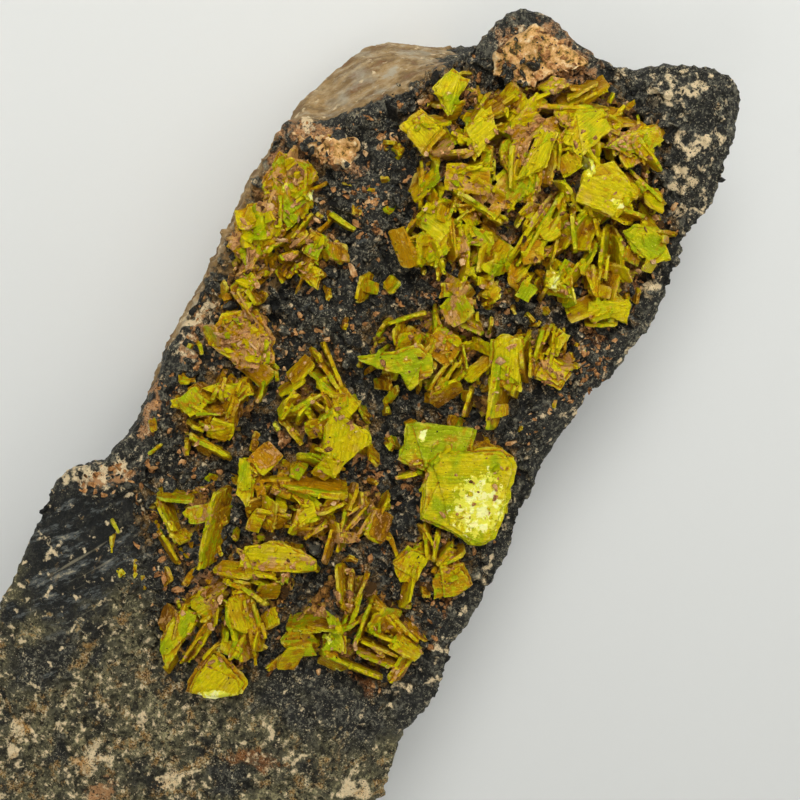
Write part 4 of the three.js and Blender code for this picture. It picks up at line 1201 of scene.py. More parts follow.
# Coats on the rock's face, its smooth facet, and the dark places on its weathered end
CREAM_PATCHES = ovals((-31.6, 4, 2.8, 1.0, -24), (-31.5, 9.6, 0.6, 1.5), (-33.5, 9.3, 1.0, 0.7),
    (-29, -2.5, 0.7, 1.8, 25), (-29.8, 7.5, 0.8, 0.5), (-21.6, 8.4, 0.6, 0.3), (-22.5, -14.9, 0.9, 1.1),
    (-22, -7.3, 0.5, 0.6), (-26, 2, 0.5, 0.6), (-22.7, 0.4, 0.4, 0.7), (-22.5, 14, 0.8, 0.3),
    (-25, 12, 0.2, 0.2), (-28, 10.6, 0.25, 0.2), (-25.7, 10.4, 0.2, 0.2), (-17.8, 14.6, 0.65, 0.55),
    (-17, -4.1, 0.35, 0.35), (-11, 14.9, 2.6, 0.9, -50), (-13.5, -14.3, 0.6, 0.9), (-12.3, -15.6, 0.5, 0.4),
    (-10.7, -15.4, 0.5, 0.3), (-9.6, -15, 0.4, 0.9), (-6, -15.5, 0.5, 0.4), (-1.6, -14.8, 0.4, 0.3),
    (3.5, -13.8, 0.5, 0.4), (11.5, -14.6, 0.5, 0.4), (17, -15.5, 0.6, 0.4), (2.9, 13.6, 2.1, 0.9, 5),
    (20.3, 13.5, 0.7, 0.5), (20.2, 10, 0.6, 0.7), (35.7, -8.5, 1.2, 1.3, 20), (33.4, -12.1, 1.8, 0.8, -60),
    (30.7, -12.8, 1.3, 0.9), (37.6, -10.3, 0.9, 0.9), (34.5, -13, 0.8, 0.7), (31.3, -13.9, 0.9, 0.7),
    (28.4, -13.7, 1, 0.6), (29.3, -14.7, 0.8, 0.5), (22.5, -15, 0.9, 0.4))
CLAY_PATCHES = ovals((33, 0.8, 2.8, 3.8, 10), (16.4, 14, 1.6, 0.9), (13.5, 12.6, 1.6, 1.6),
    (19.4, 12, 1.3, 3.2), (-3.8, 13.6, 1.9, 0.4, 10), (-6.1, 12.8, 0.9, 0.5), (1.5, 13.2, 1.8, 0.8),
    (-15, 3.2, 2.2, 1.3), (14, -0.4, 1.2, 0.8), (-10.5, 13.6, 1.8, 0.8, -40), (-33, 2, 1.6, 0.8, -20))
RUST_PATCHES = ovals((-24.5, -7.2, 0.8, 2.4, 20), (28.5, -12, 0.8, 0.6), (29.7, -9.2, 0.8, 0.7),
    (32.4, -7, 1.4, 1), (3.2, 11, 1.4, 0.9), (-22.3, -14.4, 0.5, 0.6), (-32, 4.4, 0.9, 0.4, -24),
    (21.5, -14, 1.8, 0.8), (-14.8, -11, 0.8, 1.4), (-6, -13.4, 1.2, 0.6), (17.8, -12.8, 1.4, 1.2))
BARE_PATCHES = ovals((-17, 13, 6.4, 4.2, 6), (-23.5, 14.6, 1.6, 0.8, -25))
DARK_PATCHES = ovals((-27, -6, 1.6, 1.6), (-18, -8.5, 3.2, 7), (-23.4, 7.6, 1.2, 0.6),
    (-26.2, 11, 3.4, 1.8, -25), (-36, -2, 2, 1.2), (-31, 6.4, 1.6, 0.8, 30))
# The part of the rock's face that carries crystals, with rubble between them
CRYSTAL_FIELD = [
    (-21, 2), (-17, 8), (-9, 12), (0, 13.2), (10, 14.6), (18, 14.6), (24, 9.4), (31, 5.4),
    (34.6, -2), (34, -9), (27.5, -14.6), (18, -15), (8, -13), (-1, -14.6), (-12, -14.4), (-16, -8),
]
# From where to where along x the crystal face turns to the weathered end
WEATHERED_SHAPE = (-14, -19)
WEATHERED_COLOUR = (-13.5, -20)
# How far from the beds, in mm, rubble and dust lie: where they start and where they are full
RUBBLE_GAP = (3.2, 0.8)
DUST_GAP = (2.6, -0.4)
# Where the flat crystal face ends at the tan, sloping end face
END_FACE_LINE = ((19.7, 15.4), (21.4, 12.3), (24.2, 10.2), (27, 8.1), (30.4, 6.5), (34.8, 5))


@dataclass
class RockMatrix:
    """The block of rock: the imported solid, remeshed finely, roughened and marked with its patches.

    Args:
        voxel: size of its mesh, in mm.
        face_limit: most faces that it keeps.
        still: height above the resting plane, in mm, under which it stays flat.
        steps: how many levels the weights of its relief have.
        coarse, broken, worn, fine: relief of all of it, between the crystals, of the weathered end,
            and the small relief of all of it.
    """

    voxel: float = 0.21
    face_limit: int = 194_000
    still: float = 0.6
    steps: int = 20
    coarse: tuple[Relief, ...] = (
        Relief(ReliefKind.LUMPS, 3.4, 0.8), Relief(ReliefKind.CHIPS, 1.7, 0.25),
        Relief(ReliefKind.LUMPS, 0.8, 0.35), Relief(ReliefKind.CHIPS, 0.7, 0.16),
    )
    broken: tuple[Relief, ...] = (Relief(ReliefKind.CHIPS, 1.3, 1.3), Relief(ReliefKind.LUMPS, 0.6, 0.9))
    worn: tuple[Relief, ...] = (Relief(ReliefKind.LUMPS, 2.2, 0.9), Relief(ReliefKind.LUMPS, 1.0, 0.7))
    fine: tuple[Relief, ...] = (Relief(ReliefKind.CHIPS, 0.45, 0.1), Relief(ReliefKind.LUMPS, 0.3, 0.14))

    def weigh(self, piece: Piece) -> None:
        """Weighs the relief: full on broken rock, less on the weathered end, none at the ground.

        Args:
            piece: the piece, which gets the vertex groups.
        """
        places = places_of(piece)
        x, y, z = places.T
        weathered = smooth(*WEATHERED_SHAPE, x) * smooth(FACE - 4, FACE - 2.5, z)
        ground = smooth(0.1, self.still * 2, z)
        gap = np.min([distance_to(plan.bed, places) for plan in GROUPS.values()], axis=0)
        rubble = smooth(*RUBBLE_GAP, gap) * smooth(FACE - 2.5, FACE - 1, z)
        # The tan break below the face's far edge, towards the north-east
        sloping = smooth(FACE - 0.5, FACE - 2, z) * smooth(6, 9, y) * smooth(14, 18, x)
        worn = weathered * (1 - smooth(0.1, 0.6, cover_of(BARE_PATCHES, places)))
        for name, weights in (("rough", (1 - 0.5 * weathered) * (1 - 0.6 * sloping) * ground),
                              ("grained", (1 - 0.5 * sloping) * ground), ("rubble", rubble),
                              ("worn", worn)):
            group = piece.vertex_groups.new(name=name)
            levels = np.round(weights * self.steps).astype(int)
            for level in np.unique(levels):
                group.add(np.flatnonzero(levels == level).tolist(), level / self.steps, "REPLACE")

    def mark(self, piece: Piece) -> None:
        """Writes where the rock is cream, clay-coated, rusty, weathered, bare, dusted or on the end face.

        Args:
            piece: the piece.
        """
        places = places_of(piece)
        ragged = wandered(places, 1.1, 0.6)
        x, y, z = places.T
        on_face = smooth(FACE - 3.5, FACE - 2, z)
        marks = {
            name: cover_of(patches, ragged) * on_face
            for name, patches in (("cream", CREAM_PATCHES), ("clay", CLAY_PATCHES), ("rust", RUST_PATCHES))
        }
        bare = cover_of(BARE_PATCHES, ragged)
        weathered = smooth(*WEATHERED_COLOUR, ragged[:, 0]) * (1 - 0.9 * smooth(0.2, 0.9, bare))
        weathered *= 1 - 0.6 * smooth(0.2, 1.0, cover_of(DARK_PATCHES, ragged))
        marks["weathered"] = weathered * (0.45 + 0.55 * on_face)
        marks["bare"] = bare * on_face
        xs, ys = zip(*END_FACE_LINE)
        beyond = smooth(-0.1, 0.5, ragged[:, 1] - np.interp(ragged[:, 0], xs, ys))
        # The end face goes on along the far side, below the face, as far as it wanders
        edge = smooth(FACE - 0.4, FACE - 1.4, z) * smooth(8, 11, y)
        wander = ragged[:, 0] + 12 * (lattice_noise(places, 5.0, 17) - 0.5)
        marks["end_face"] = np.maximum(beyond * smooth(19.2, 20, x),
                                       edge * smooth(-6, -3, wander) * smooth(-10, -9, x))
        gap = np.min([distance_to(plan.bed, ragged) for plan in GROUPS.values()], axis=0)
        marks["dusted"] = smooth(*DUST_GAP, gap) * on_face
        for name, values in marks.items():
            write_values(piece, name, values)

    def build(self, material: Material) -> Piece:
        """Makes the rock.

        Args:
            material: its finish.

        Returns:
            The finished piece.
        """
        piece = copy_of_node("rock_matrix", "rock_block")
        apply_modifier(piece, "REMESH", mode="VOXEL", voxel_size=self.voxel * MM)
        self.weigh(piece)
        for group, reliefs in (("rough", self.coarse), ("rubble", self.broken), ("worn", self.worn),
                               ("grained", self.fine)):
            press_all(piece, reliefs, group)
        triangles = 2 * len(piece.data.polygons)
        apply_modifier(piece, "DECIMATE", ratio=min(self.face_limit / triangles, 1))
        piece.vertex_groups.clear()
        bpy.ops.object.shade_smooth_by_angle(angle=math.radians(ROCK_ANGLE))
        self.mark(piece)
        mark_creases(piece)
        return hand_over(piece, material, "rock", "rock_matrix")


@dataclass
class ClayCrust:
    """A crust of earthy clay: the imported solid, remeshed finely and roughened.

    Args:
        node: its CAD node.
        waviness: how far its rim and top wander, in mm.
        voxel: size of its mesh, in mm.
        reliefs: its relief on top of that.
    """

    node: str
    waviness: float
    voxel: float = 0.17
    reliefs: tuple[Relief, ...] = (
        Relief(ReliefKind.LUMPS, 2.4, 0.4), Relief(ReliefKind.CHIPS, 0.8, 0.14),
        Relief(ReliefKind.LUMPS, 0.3, 0.1))

    def build(self, material: Material) -> Piece:
        """Makes the crust.

        Args:
            material: its finish.

        Returns:
            The finished piece.
        """
        piece = copy_of_node(self.node, f"{self.node}_crumbly")
        waves = Relief(ReliefKind.LUMPS, 1.2, self.waviness)
        make_crumbly(piece, self.voxel, (waves, *self.reliefs), CLAY_ANGLE)
        return hand_over(piece, material, "clay", self.node)


@dataclass
class Ground:
    """What crumbs fall on, seen from above.

    Args:
        pieces: the pieces that carry crumbs.
    """

    pieces: list[Piece]

    def __post_init__(self) -> None:
        """Reads the pieces as they stand."""
        bpy.context.view_layer.update()
        depsgraph = bpy.context.evaluated_depsgraph_get()
        self.trees = [BVHTree.FromObject(piece, depsgraph) for piece in self.pieces]

    def under(self, x: float, y: float) -> tuple[Vector, Vector, bool] | None:
        """Finds the highest surface at a place.

        Args:
            x, y: the place, in mm.

        Returns:
            The point in mm, its normal and whether it is on a crystal, or nothing past the rock's edge.
        """
        start = Vector((x, y, 2 * FACE)) * MM
        hits = []
        for piece, tree in zip(self.pieces, self.trees):
            place, normal, _, _ = tree.ray_cast(start, Vector((0, 0, -1)))
            if place is not None:
                hits.append((place / MM, normal, piece.name.endswith("crystals")))
        return max(hits, key=lambda hit: hit[0].z, default=None)


@dataclass
class Crumbs:
    """Crumbs of one kind, strewn over the rock and between the crystals.

    Args:
        name: name of the piece.
        slot: a name for its material, handed on when the piece is made.
        ground: what they fall on.
        bench: where they are modelled.
        rng: source of their random choices.
        hue: middle and spread of their hues.
        sink: share of a crumb that is under the surface.
        on_crystals: share of those over a crystal that stay there.
        flat: least and greatest thickness, as a share of the size.
        steepest: least upward share of the normal of a surface that holds them.
        lowest: height of the lowest place where they lie, in mm.
    """

    name: str
    slot: str
    ground: Ground
    bench: Bench
    rng: random.Random
    hue: tuple[float, float] = (0.5, 0.2)
    sink: float = 0.1
    on_crystals: float = 0.08
    flat: tuple[float, float] = (0.3, 0.8)
    steepest: float = 0.35
    lowest: float = FACE - 1.6

    def __post_init__(self) -> None:
        """Starts the mesh."""
        self.cluster = Cluster(self.name)

    def drop(self, x: float, y: float, size: float) -> None:
        """Drops one crumb, unless the surface there is too steep to hold it.

        Args:
            x, y: where, in mm.
            size: its size, in mm.
        """
        found = self.ground.under(x, y)
        if found is None or found[1].z < self.steepest or found[0].z < self.lowest:
            return
        rng = self.rng
        if found[2] and rng.random() > self.on_crystals:
            return
        turn = Quaternion([rng.gauss(0, 1) for _ in range(4)]).normalized().to_matrix()
        stretch = Matrix.Diagonal((size * rng.uniform(0.6, 1.6), size, size * rng.uniform(*self.flat)))
        place = (turn @ stretch).to_4x4()
        place.translation = found[0] + Vector((0, 0, size * (0.4 - self.sink)))
        self.cluster.add(rng.choice(self.bench.crumbs), place, hue=rng.gauss(*self.hue),
                         stain=rng.uniform(0, 0.6))

    def strew(self, patch: Patch, density: float, smallest: float, largest: float) -> None:
        """Drops crumbs over an oval.

        Args:
            patch: the oval.
            density: crumbs for each square mm.
            smallest, largest: their sizes, in mm.
        """
        rng = self.rng
        turn = math.radians(patch.turn)
        for _ in range(round(math.pi * patch.along * patch.across * density)):
            reach, way = math.sqrt(rng.random()), rng.uniform(0, 2 * math.pi)
            u, v = reach * math.cos(way) * patch.along, reach * math.sin(way) * patch.across
            self.drop(patch.x + u * math.cos(turn) - v * math.sin(turn),
                      patch.y + u * math.sin(turn) + v * math.cos(turn),
                      rng.triangular(smallest, largest, smallest))

    def cover(self, outline: list[Point], density: float, smallest: float, largest: float) -> None:
        """Drops crumbs all over an outline.

        Args:
            outline: corners, in mm.
            density: crumbs for each square mm.
            smallest, largest: their sizes, in mm.
        """
        xs, ys = zip(*outline)
        for _ in range(round((max(xs) - min(xs)) * (max(ys) - min(ys)) * density)):
            x, y = spot_around(outline, self.rng)
            size = self.rng.triangular(smallest, largest, smallest)
            if inside(outline, x, y):
                self.drop(x, y, size)

    def build(self, material: Material) -> Piece:
        """Makes the piece of all crumbs that were dropped."""
        return hand_over(self.cluster.build(), material, self.slot)


# Crumbs over ovals: how many for each square mm, and their least and greatest size in mm
DARK_CRUMBS = (((-10, 3, 2.4, 1.4), 4, 0.25, 0.8), ((-10.5, -3, 1.8, 2.4), 4, 0.25, 0.8),
    ((5, -1.5, 2.2, 2.4), 4, 0.25, 0.9), ((1, 2.6, 1.3, 1), 4, 0.2, 0.6),
    ((-0.4, 6.8, 1.4, 1.4), 4, 0.2, 0.7), ((5.8, 9.6, 1, 1), 3, 0.2, 0.6),
    ((8.4, 9.2, 1.7, 1.4), 4, 0.25, 0.8), ((13.4, 2.6, 3.6, 2.2), 4, 0.25, 0.9),
    ((11.2, -2.2, 1.4, 1.5), 4, 0.2, 0.7), ((-6.3, -11.4, 1.1, 0.9), 4, 0.2, 0.6),
    ((17.4, 9.2, 1.4, 1.4), 3, 0.3, 0.9), ((9.4, -12.4, 3, 3), 2.5, 0.15, 0.45),
    ((18.6, 14.4, 0.9, 0.8), 3, 0.2, 0.6), ((26, 8, 5, 2, -30), 2.5, 0.15, 0.5),
    ((-17, 1, 3, 5), 3, 0.25, 0.8), ((36.5, -9, 2.6, 4), 1.6, 0.15, 0.45),
    ((-10, 12.4, 4, 1.6), 2, 0.2, 0.7), ((30, -13.5, 7, 1.8), 1.8, 0.15, 0.5),
    ((-16, -8, 2, 4), 1, 0.2, 0.5), ((34, 4, 1.4, 0.9), 3, 0.2, 0.5),
    ((32.6, 1, 2.4, 3.4), 2.0, 0.12, 0.35), ((-8, -8, 4, 5), 1, 0.2, 0.5),
    ((-10.4, 6.8, 3.6, 2.6), 6, 0.3, 1.0), ((-11.4, -9, 2.4, 3), 4, 0.25, 0.8))
TAN_CRUMBS = (((-15, 3.2, 2.4, 1.6), 2, 0.15, 0.6), ((14, -0.4, 1.4, 0.9), 6, 0.2, 0.8),
    ((14, 9, 1, 0.9), 5, 0.15, 0.5), ((15.8, 6.2, 1.1, 0.9), 5, 0.15, 0.5),
    ((18.2, 6.8, 1.2, 1), 5, 0.15, 0.5), ((-14.6, -11.4, 0.8, 1.5), 4, 0.15, 0.5),
    ((-6.2, -13.4, 1.2, 0.6), 6, 0.15, 0.45), ((15, -13.4, 3.4, 2), 6, 0.15, 0.5),
    ((3.2, 11, 1.6, 1.2), 6, 0.15, 0.6), ((3.6, 13.2, 2.6, 1.1), 4, 0.15, 0.5),
    ((33, 0.8, 2.6, 3.6), 4, 0.15, 0.5), ((19.6, 11.6, 1.3, 3), 4, 0.15, 0.5),
    ((-0.2, -3.2, 1.1, 1.3), 8, 0.2, 0.9), ((-1.7, 3.3, 0.8, 0.6), 6, 0.2, 0.8),
    ((-10.8, 13.6, 2.2, 1.2, -40), 3, 0.2, 0.7), ((-3.6, 13, 3.2, 0.9), 3, 0.15, 0.5),
    ((14, 13, 4, 1.6), 3, 0.15, 0.5), ((24, -13.4, 3, 1), 3, 0.15, 0.4),
    ((1.3, -5.9, 0.9, 0.9), 8, 0.3, 0.9), ((5, 5.5, 3, 3), 2, 0.15, 0.5))


@dataclass(frozen=True)
class Layer:
    """A tint laid over what is under it, where a mark of the mesh and a noise together are high.

    Args:
        mark: name of the mark, or nothing.
        noise: name of the noise.
        gain: how far the noise is spread around its middle.
        start, end: sums of the two where the tint starts and where it is full.
        strength: share of the tint where it is full.
        tint: the tint, in hex.
    """

    mark: str
    noise: str
    gain: float
    start: float
    end: float
    strength: float
    tint: str


def paint(tree: NodeTree, colour: Any, rows: tuple[tuple[Any, ...], ...], marks: dict[str, Any],
          noises: dict[str, Any]) -> Any:
    """Lays tints over a colour.

    Args:
        tree: the material's nodes.
        colour: the colour underneath, or its socket.
        rows: values of the tints' layers, from the lowest.
        marks: sockets of the mesh's marks.
        noises: sockets of the noises.

    Returns:
        The socket of the colour on top.
    """
    for layer in (Layer(*row) for row in rows):
        centred = add_node(tree, "ShaderNodeMath", {"operation": "SUBTRACT"}, {
            0: noises[layer.noise], 1: 0.5}).outputs[0]
        total = add_node(tree, "ShaderNodeMath", {"operation": "MULTIPLY_ADD"}, {
            0: centred, 1: layer.gain, 2: marks.get(layer.mark, 0.0)}).outputs[0]
        share = add_node(tree, "ShaderNodeMapRange", None, {
            "Value": total, "From Min": layer.start, "From Max": layer.end,
            "To Max": layer.strength}).outputs[0]
        colour = add_node(tree, "ShaderNodeMix", {"data_type": "RGBA"}, {
            0: share, 6: colour, 7: linear(layer.tint)}).outputs[2]
    return colour


@dataclass
class Finish:
    """What every finish shares: its noises, the marks that it reads and its surface.

    Args:
        name: name of the material.
        noises: for each noise its grain size in mm, its detail and its roughness.
        marks: values that the mesh carries.
    """

    name: str
    noises: dict[str, tuple[float, float, float]]
    marks: tuple[str, ...]

    def __post_init__(self) -> None:
        """Starts the material."""
        self.material = bpy.data.materials.new(self.name)
        self.material.use_nodes = True
        self.tree = self.material.node_tree
        self.tree.nodes.clear()
        self.place = add_node(self.tree, "ShaderNodeTexCoord").outputs["Object"]
        self.noise = {
            name: add_node(self.tree, "ShaderNodeTexNoise", None, {
                "Vector": self.place, "Scale": grain(size), "Detail": detail, "Roughness": rough}).outputs[0]
            for name, (size, detail, rough) in self.noises.items()
        }
        self.mark = {
            name: add_node(self.tree, "ShaderNodeAttribute", {"attribute_name": name}).outputs["Fac"]
            for name in self.marks
        }

    def blend(self, *parts: tuple[Any, float]) -> Any:
        """Adds up sockets.

        Args:
            parts: each socket with its share.

        Returns:
            The socket of the sum.
        """
        total = 0.0
        for socket, share in parts:
            total = add_node(self.tree, "ShaderNodeMath", {"operation": "MULTIPLY_ADD"}, {
                0: socket, 1: share, 2: total}).outputs[0]
        return total

    def close(self, colour: Any, relief: Any, height: float, **surface: Any) -> Material:
        """Ends the material with its fine relief and its surface.

        Args:
            colour: socket of its colour.
            relief: socket of its relief.
            height: of that relief, in mm.
            surface: further inputs of the surface, with _ for a space.

        Returns:
            The material.
        """
        bump = add_node(self.tree, "ShaderNodeBump", None, {
            "Height": relief, "Strength": 0.9, "Distance": height * MM}).outputs[0]
        inputs = {name.replace("_", " "): value for name, value in surface.items()}
        inputs |= {"Base Color": colour, "Normal": bump}
        surface_node = add_node(self.tree, "ShaderNodeBsdfPrincipled", None, inputs)
        add_node(self.tree, "ShaderNodeOutputMaterial", None, {"Surface": surface_node.outputs[0]})
        return self.material


@dataclass(frozen=True)
class AutuniteFinish:
    """Autunite: soft, pearly leaves of a hydrated mineral, split along one plane as mica is.

    The eye sees lemon to green leaves with fine lines, brown films between them and a waxy gloss. Their
    raised edges and small sparks carry painted highlights, and their creases painted shade.
    """

    green: str = "#98a804"
    lemon: str = "#ccbc04"
    golden: str = "#b27a04"
    film: str = "#c9985c"
    rust: str = "#74420f"
    speck: str = "#22201a"
    # Pale lemon of the painted highlights on raised edges and sparks
    edge_highlight: str = "#e8dc62"
    gleam: str = "#eeea50"
    glint: str = "#fdfcae"
    gloss: str = "#ffe878"
    glow: tuple[float, float, float] = (1.0, 0.6, 0.08)
    glow_depth: float = 0.6
    ior: float = 1.57
    roughness: float = 0.42

    def material(self) -> Material:
        """Makes the material.

        Returns:
            The material.
        """
        finish = Finish("autunite_pearly_leaves", {
            "clouds": (1.5, 3.0, 0.6), "blots": (0.7, 5.0, 0.65), "crinkles": (0.35, 3.0, 0.6),
            "specks": (0.26, 0.0, 0.5), "spark": (0.13, 1.0, 0.5)},
            ("hue", "stain", "crease", "glint", "film"))
        tree = finish.tree
        leaf = add_node(tree, "ShaderNodeAttribute", {"attribute_name": "leaf"}).outputs["Vector"]
        stretched = []
        for scale, detail in (((0.4, 7, 9), 3.0), ((0.3, 0.8, 3), 4.0)):
            along = add_node(tree, "ShaderNodeMapping", None, {"Vector": leaf, "Scale": scale}).outputs[0]
            stretched.append(add_node(tree, "ShaderNodeTexNoise", None, {
                "Vector": along, "Scale": 1.0, "Detail": detail, "Roughness": 0.6}).outputs[0])
        lines, streaks = stretched
        finish.noise["streaks"] = finish.blend((streaks, 0.5), (finish.noise["blots"], 0.5))
        # Leaves turn more golden and rust lower down, and in creases as painted shade; their own stain and
        # films add to that
        height = add_node(tree, "ShaderNodeSeparateXYZ", None, {0: finish.place}).outputs["Z"]
        low = add_node(tree, "ShaderNodeMapRange", None, {
            "Value": height, "From Min": (FACE + 2.6) * MM, "From Max": (FACE + 0.9) * MM,
            "To Min": 0.0, "To Max": 0.5}).outputs[0]
        stain = finish.blend((finish.mark["stain"], 0.7), (low, 1.0), (finish.mark["crease"], 0.2),
                             (finish.mark["film"], 0.25))
        coat = finish.blend((finish.mark["stain"], 0.6), (finish.mark["film"], 0.7))
        # Raised edges get a painted highlight from the crease values below 0
        marks = {"hue": finish.mark["hue"], "stain": stain, "coat": coat, "glint": finish.mark["glint"],
                 "edge_highlight": finish.blend((finish.mark["crease"], -0.2))}
        colour = paint(tree, linear(self.green), (
            ("hue", "clouds", 2.2, -0.05, 0.35, 1.0, self.lemon),
            ("hue", "clouds", 2.2, 0.5, 1.1, 0.9, self.golden),
            ("stain", "streaks", 4.0, 0.4, 0.75, 0.9, self.golden),
            ("stain", "streaks", 4.0, 0.85, 1.15, 0.85, self.rust),
            # Painted highlight: raised edges lightened to pale lemon
            ("edge_highlight", "clouds", 2.0, 0.2, 0.7, 0.65, self.edge_highlight),
            ("coat", "blots", 5.0, 0.85, 1.1, 0.9, self.film)), marks, finish.noise)
        shade = add_node(tree, "ShaderNodeMapRange", None, {
            "Value": lines, "From Min": 0.3, "From Max": 0.7, "To Min": 0.7, "To Max": 1.24}).outputs[0]
        colour = add_node(tree, "ShaderNodeVectorMath", {"operation": "SCALE"}, {
            0: colour, "Scale": shade}).outputs[0]
        colour = paint(tree, colour, (
            # Painted highlights: small bright sparks in pale lemon
            ("", "spark", 8, 1.3, 1.9, 0.5, self.edge_highlight),
            ("", "spark", -8, 1.2, 1.8, 0.45, self.rust),
            ("glint", "crinkles", 2.2, 0.56, 0.68, 0.85, self.gleam),
            ("glint", "blots", 5.0, 0.95, 1.2, 0.85, self.glint),
            ("", "specks", 1.0, 0.31, 0.35, 1.0, self.speck)), marks, finish.noise)
        rough = add_node(tree, "ShaderNodeMapRange", None, {
            "Value": stain, "From Min": 0.3, "From Max": 0.9,
            "To Min": self.roughness, "To Max": 0.8}).outputs[0]
        relief = finish.blend((lines, 1.0), (finish.noise["crinkles"], 1.0))
        return finish.close(colour, relief, 0.12, Roughness=rough, IOR=self.ior, Specular_IOR_Level=0.38,
                            Specular_Tint=linear(self.gloss), Subsurface_Weight=0.3,
                            Subsurface_Radius=self.glow, Subsurface_Scale=self.glow_depth * MM)


@dataclass(frozen=True)
class RockFinish:
    """Black, fine-grained rock, broken and partly weathered.

    The eye sees near-black grains with grey flecks among them, drawn more often on ridges as a painted
    highlight, pits darkened as painted shade, a dull olive-brown weathered end, and cream, tan and rusty
    patches with ragged rims.
    """

    black: str = "#242420"
    slate: str = "#6d6a5a"
    pale: str = "#b5ab8c"
    # Near black of dark grains, and of the painted shade in pits
    sooty_black_and_shade: str = "#12120e"
    smoke: str = "#161817"
    steel: str = "#666a66"
    olive: str = "#5e593e"
    straw: str = "#a39a70"
    ochre: str = "#a57e42"
    cream: str = "#e6d0a4"
    clay: str = "#b8895a"
    rust: str = "#8a5425"
    umber: str = "#8d7146"
    tan: str = "#bc9a66"
    amber: str = "#c8954c"
    dust: str = "#c2bba4"

    def material(self) -> Material:
        """Makes the material.

        Returns:
            The material.
        """
        finish = Finish("black_grained_rock", {
            "fleck": (0.32, 4.0, 0.7), "grit": (0.6, 6.0, 0.72), "blot": (1.3, 6.0, 0.72),
            "cloud": (3.5, 5.0, 0.6), "dark": (0.33, 3.0, 0.65), "spark": (0.13, 1.0, 0.5),
            "spot": (0.75, 3.0, 0.55)},
            ("weathered", "bare", "end_face", "clay", "rust", "cream", "dusted", "crease"))
        tree, noises, marks = finish.tree, finish.noise, finish.mark
        # Scratches and smears along the smooth facet, and bands on the broken end face
        for name, kind, turn, scale, size, detail, roughness in (
                ("scratch", "TEXTURE", -28, (8, 0.4, 1.6), 1.0, 2.0, 0.5),
                ("smear", "TEXTURE", -38, (2.6, 0.8, 1.6), 1.1, 6.0, 0.75),
                ("band", "POINT", 24, (0.25, 1, 1), 1.6, 5.0, 0.65)):
            stretched = add_node(tree, "ShaderNodeMapping", {"vector_type": kind}, {
                "Vector": finish.place, "Rotation": (0, 0, math.radians(turn)), "Scale": scale})
            noises[name] = add_node(tree, "ShaderNodeTexNoise", None, {
                "Vector": stretched.outputs[0], "Scale": grain(size), "Detail": detail,
                "Roughness": roughness}).outputs[0]
        # Painted highlight: grey and pale flecks gather on ridges
        marks["ridge_highlight"] = finish.blend((marks["crease"], -0.2))
        marks["rough"] = finish.blend((noises["blot"], 6.0), (marks["end_face"], -1.5), (marks["bare"], -1.0))
        marks["warm"] = finish.blend((marks["cream"], 1.0), (marks["weathered"], 0.6))
        noises["patchy"] = finish.blend((noises["fleck"], 0.5), (noises["cloud"], 0.5))
        noises["murky"] = finish.blend((noises["dark"], 0.5), (noises["blot"], 0.5))
        # Painted shade: pits and creases darkened to near black, less on the end face and the bare facet
        marks["pit_shade"] = finish.blend((marks["crease"], 0.25), (marks["end_face"], -0.5), (marks["bare"], -0.2))
        colour = paint(tree, linear(self.black), (
            ("ridge_highlight", "fleck", 6, 0.1, 0.6, 0.9, self.slate),
            ("ridge_highlight", "murky", -8, 0.4, 0.9, 0.55, self.slate),
            ("ridge_highlight", "fleck", 6, 0.95, 1.4, 0.85, self.pale),
            ("ridge_highlight", "grit", 6, 0.75, 1.2, 0.85, self.pale),
            ("bare", "fleck", 1, 0.4, 0.9, 0.8, self.smoke),
            ("bare", "smear", 10, 1.1, 1.7, 0.7, self.steel),
            ("bare", "smear", 10, 1.9, 2.5, 0.8, self.pale),
            ("weathered", "cloud", 3, 0.4, 1.1, 0.75, self.olive),
            ("weathered", "blot", 8, 1.1, 1.7, 0.65, self.straw),
            ("weathered", "cloud", -8, 1.25, 1.9, 0.8, self.black),
            ("weathered", "patchy", 9, 1.3, 1.9, 0.8, self.straw),
            ("weathered", "murky", 9, 1.1, 1.6, 0.85, self.sooty_black_and_shade),
            ("weathered", "spot", -8, 1.4, 2.0, 0.75, self.sooty_black_and_shade),
            ("weathered", "blot", 7, 1.25, 1.8, 0.85, self.ochre),
            ("weathered", "spot", 9, 1.4, 2.1, 0.5, self.straw),
            ("weathered", "spot", 9, 2.0, 2.5, 0.75, self.cream),
            ("weathered", "grit", 6, 1.45, 1.9, 0.95, self.cream),
            ("bare", "scratch", 6, 1.7, 2.4, 0.4, self.pale),
            ("end_face", "cloud", 1, 0.5, 0.8, 0.95, self.umber),
            ("end_face", "band", 5, 0.8, 1.4, 0.85, self.tan),
            ("end_face", "blot", 4, 1.05, 1.8, 0.5, self.cream),
            ("end_face", "band", 5, 1.35, 1.9, 0.75, self.dust),
            ("end_face", "band", -6, 1.3, 2.0, 0.7, self.rust),
            ("end_face", "cloud", 6, 1.3, 2.0, 0.55, self.dust),
            ("dusted", "blot", 4.5, 0.6, 1.3, 0.85, self.ochre),
            ("dusted", "grit", 4, 1.2, 1.8, 0.8, self.clay),
            ("clay", "blot", 3, 0.45, 0.8, 0.95, self.clay),
            ("rust", "blot", 3.5, 0.6, 1.1, 0.8, self.rust),
            ("cream", "spot", 5, 0.6, 1.0, 0.95, self.cream),
            ("warm", "blot", 4, 1.4, 2.0, 0.7, self.amber),
            ("rough", "spark", 9, 4.4, 5.0, 0.75, self.pale),
            ("rough", "spark", -9, 4.0, 4.7, 0.8, self.sooty_black_and_shade),
            ("pit_shade", "dark", 4, 0.2, 0.7, 0.85, self.sooty_black_and_shade)), marks, noises)
        rough = add_node(tree, "ShaderNodeMapRange", None, {
            "Value": noises["fleck"], "From Min": 0.35, "From Max": 0.65,
            "To Min": 0.45, "To Max": 0.85}).outputs[0]
        relief = finish.blend((noises["fleck"], 1.0), (noises["grit"], 1.0))
        return finish.close(colour, relief, 0.2, Roughness=rough, IOR=1.5, Specular_IOR_Level=0.25)


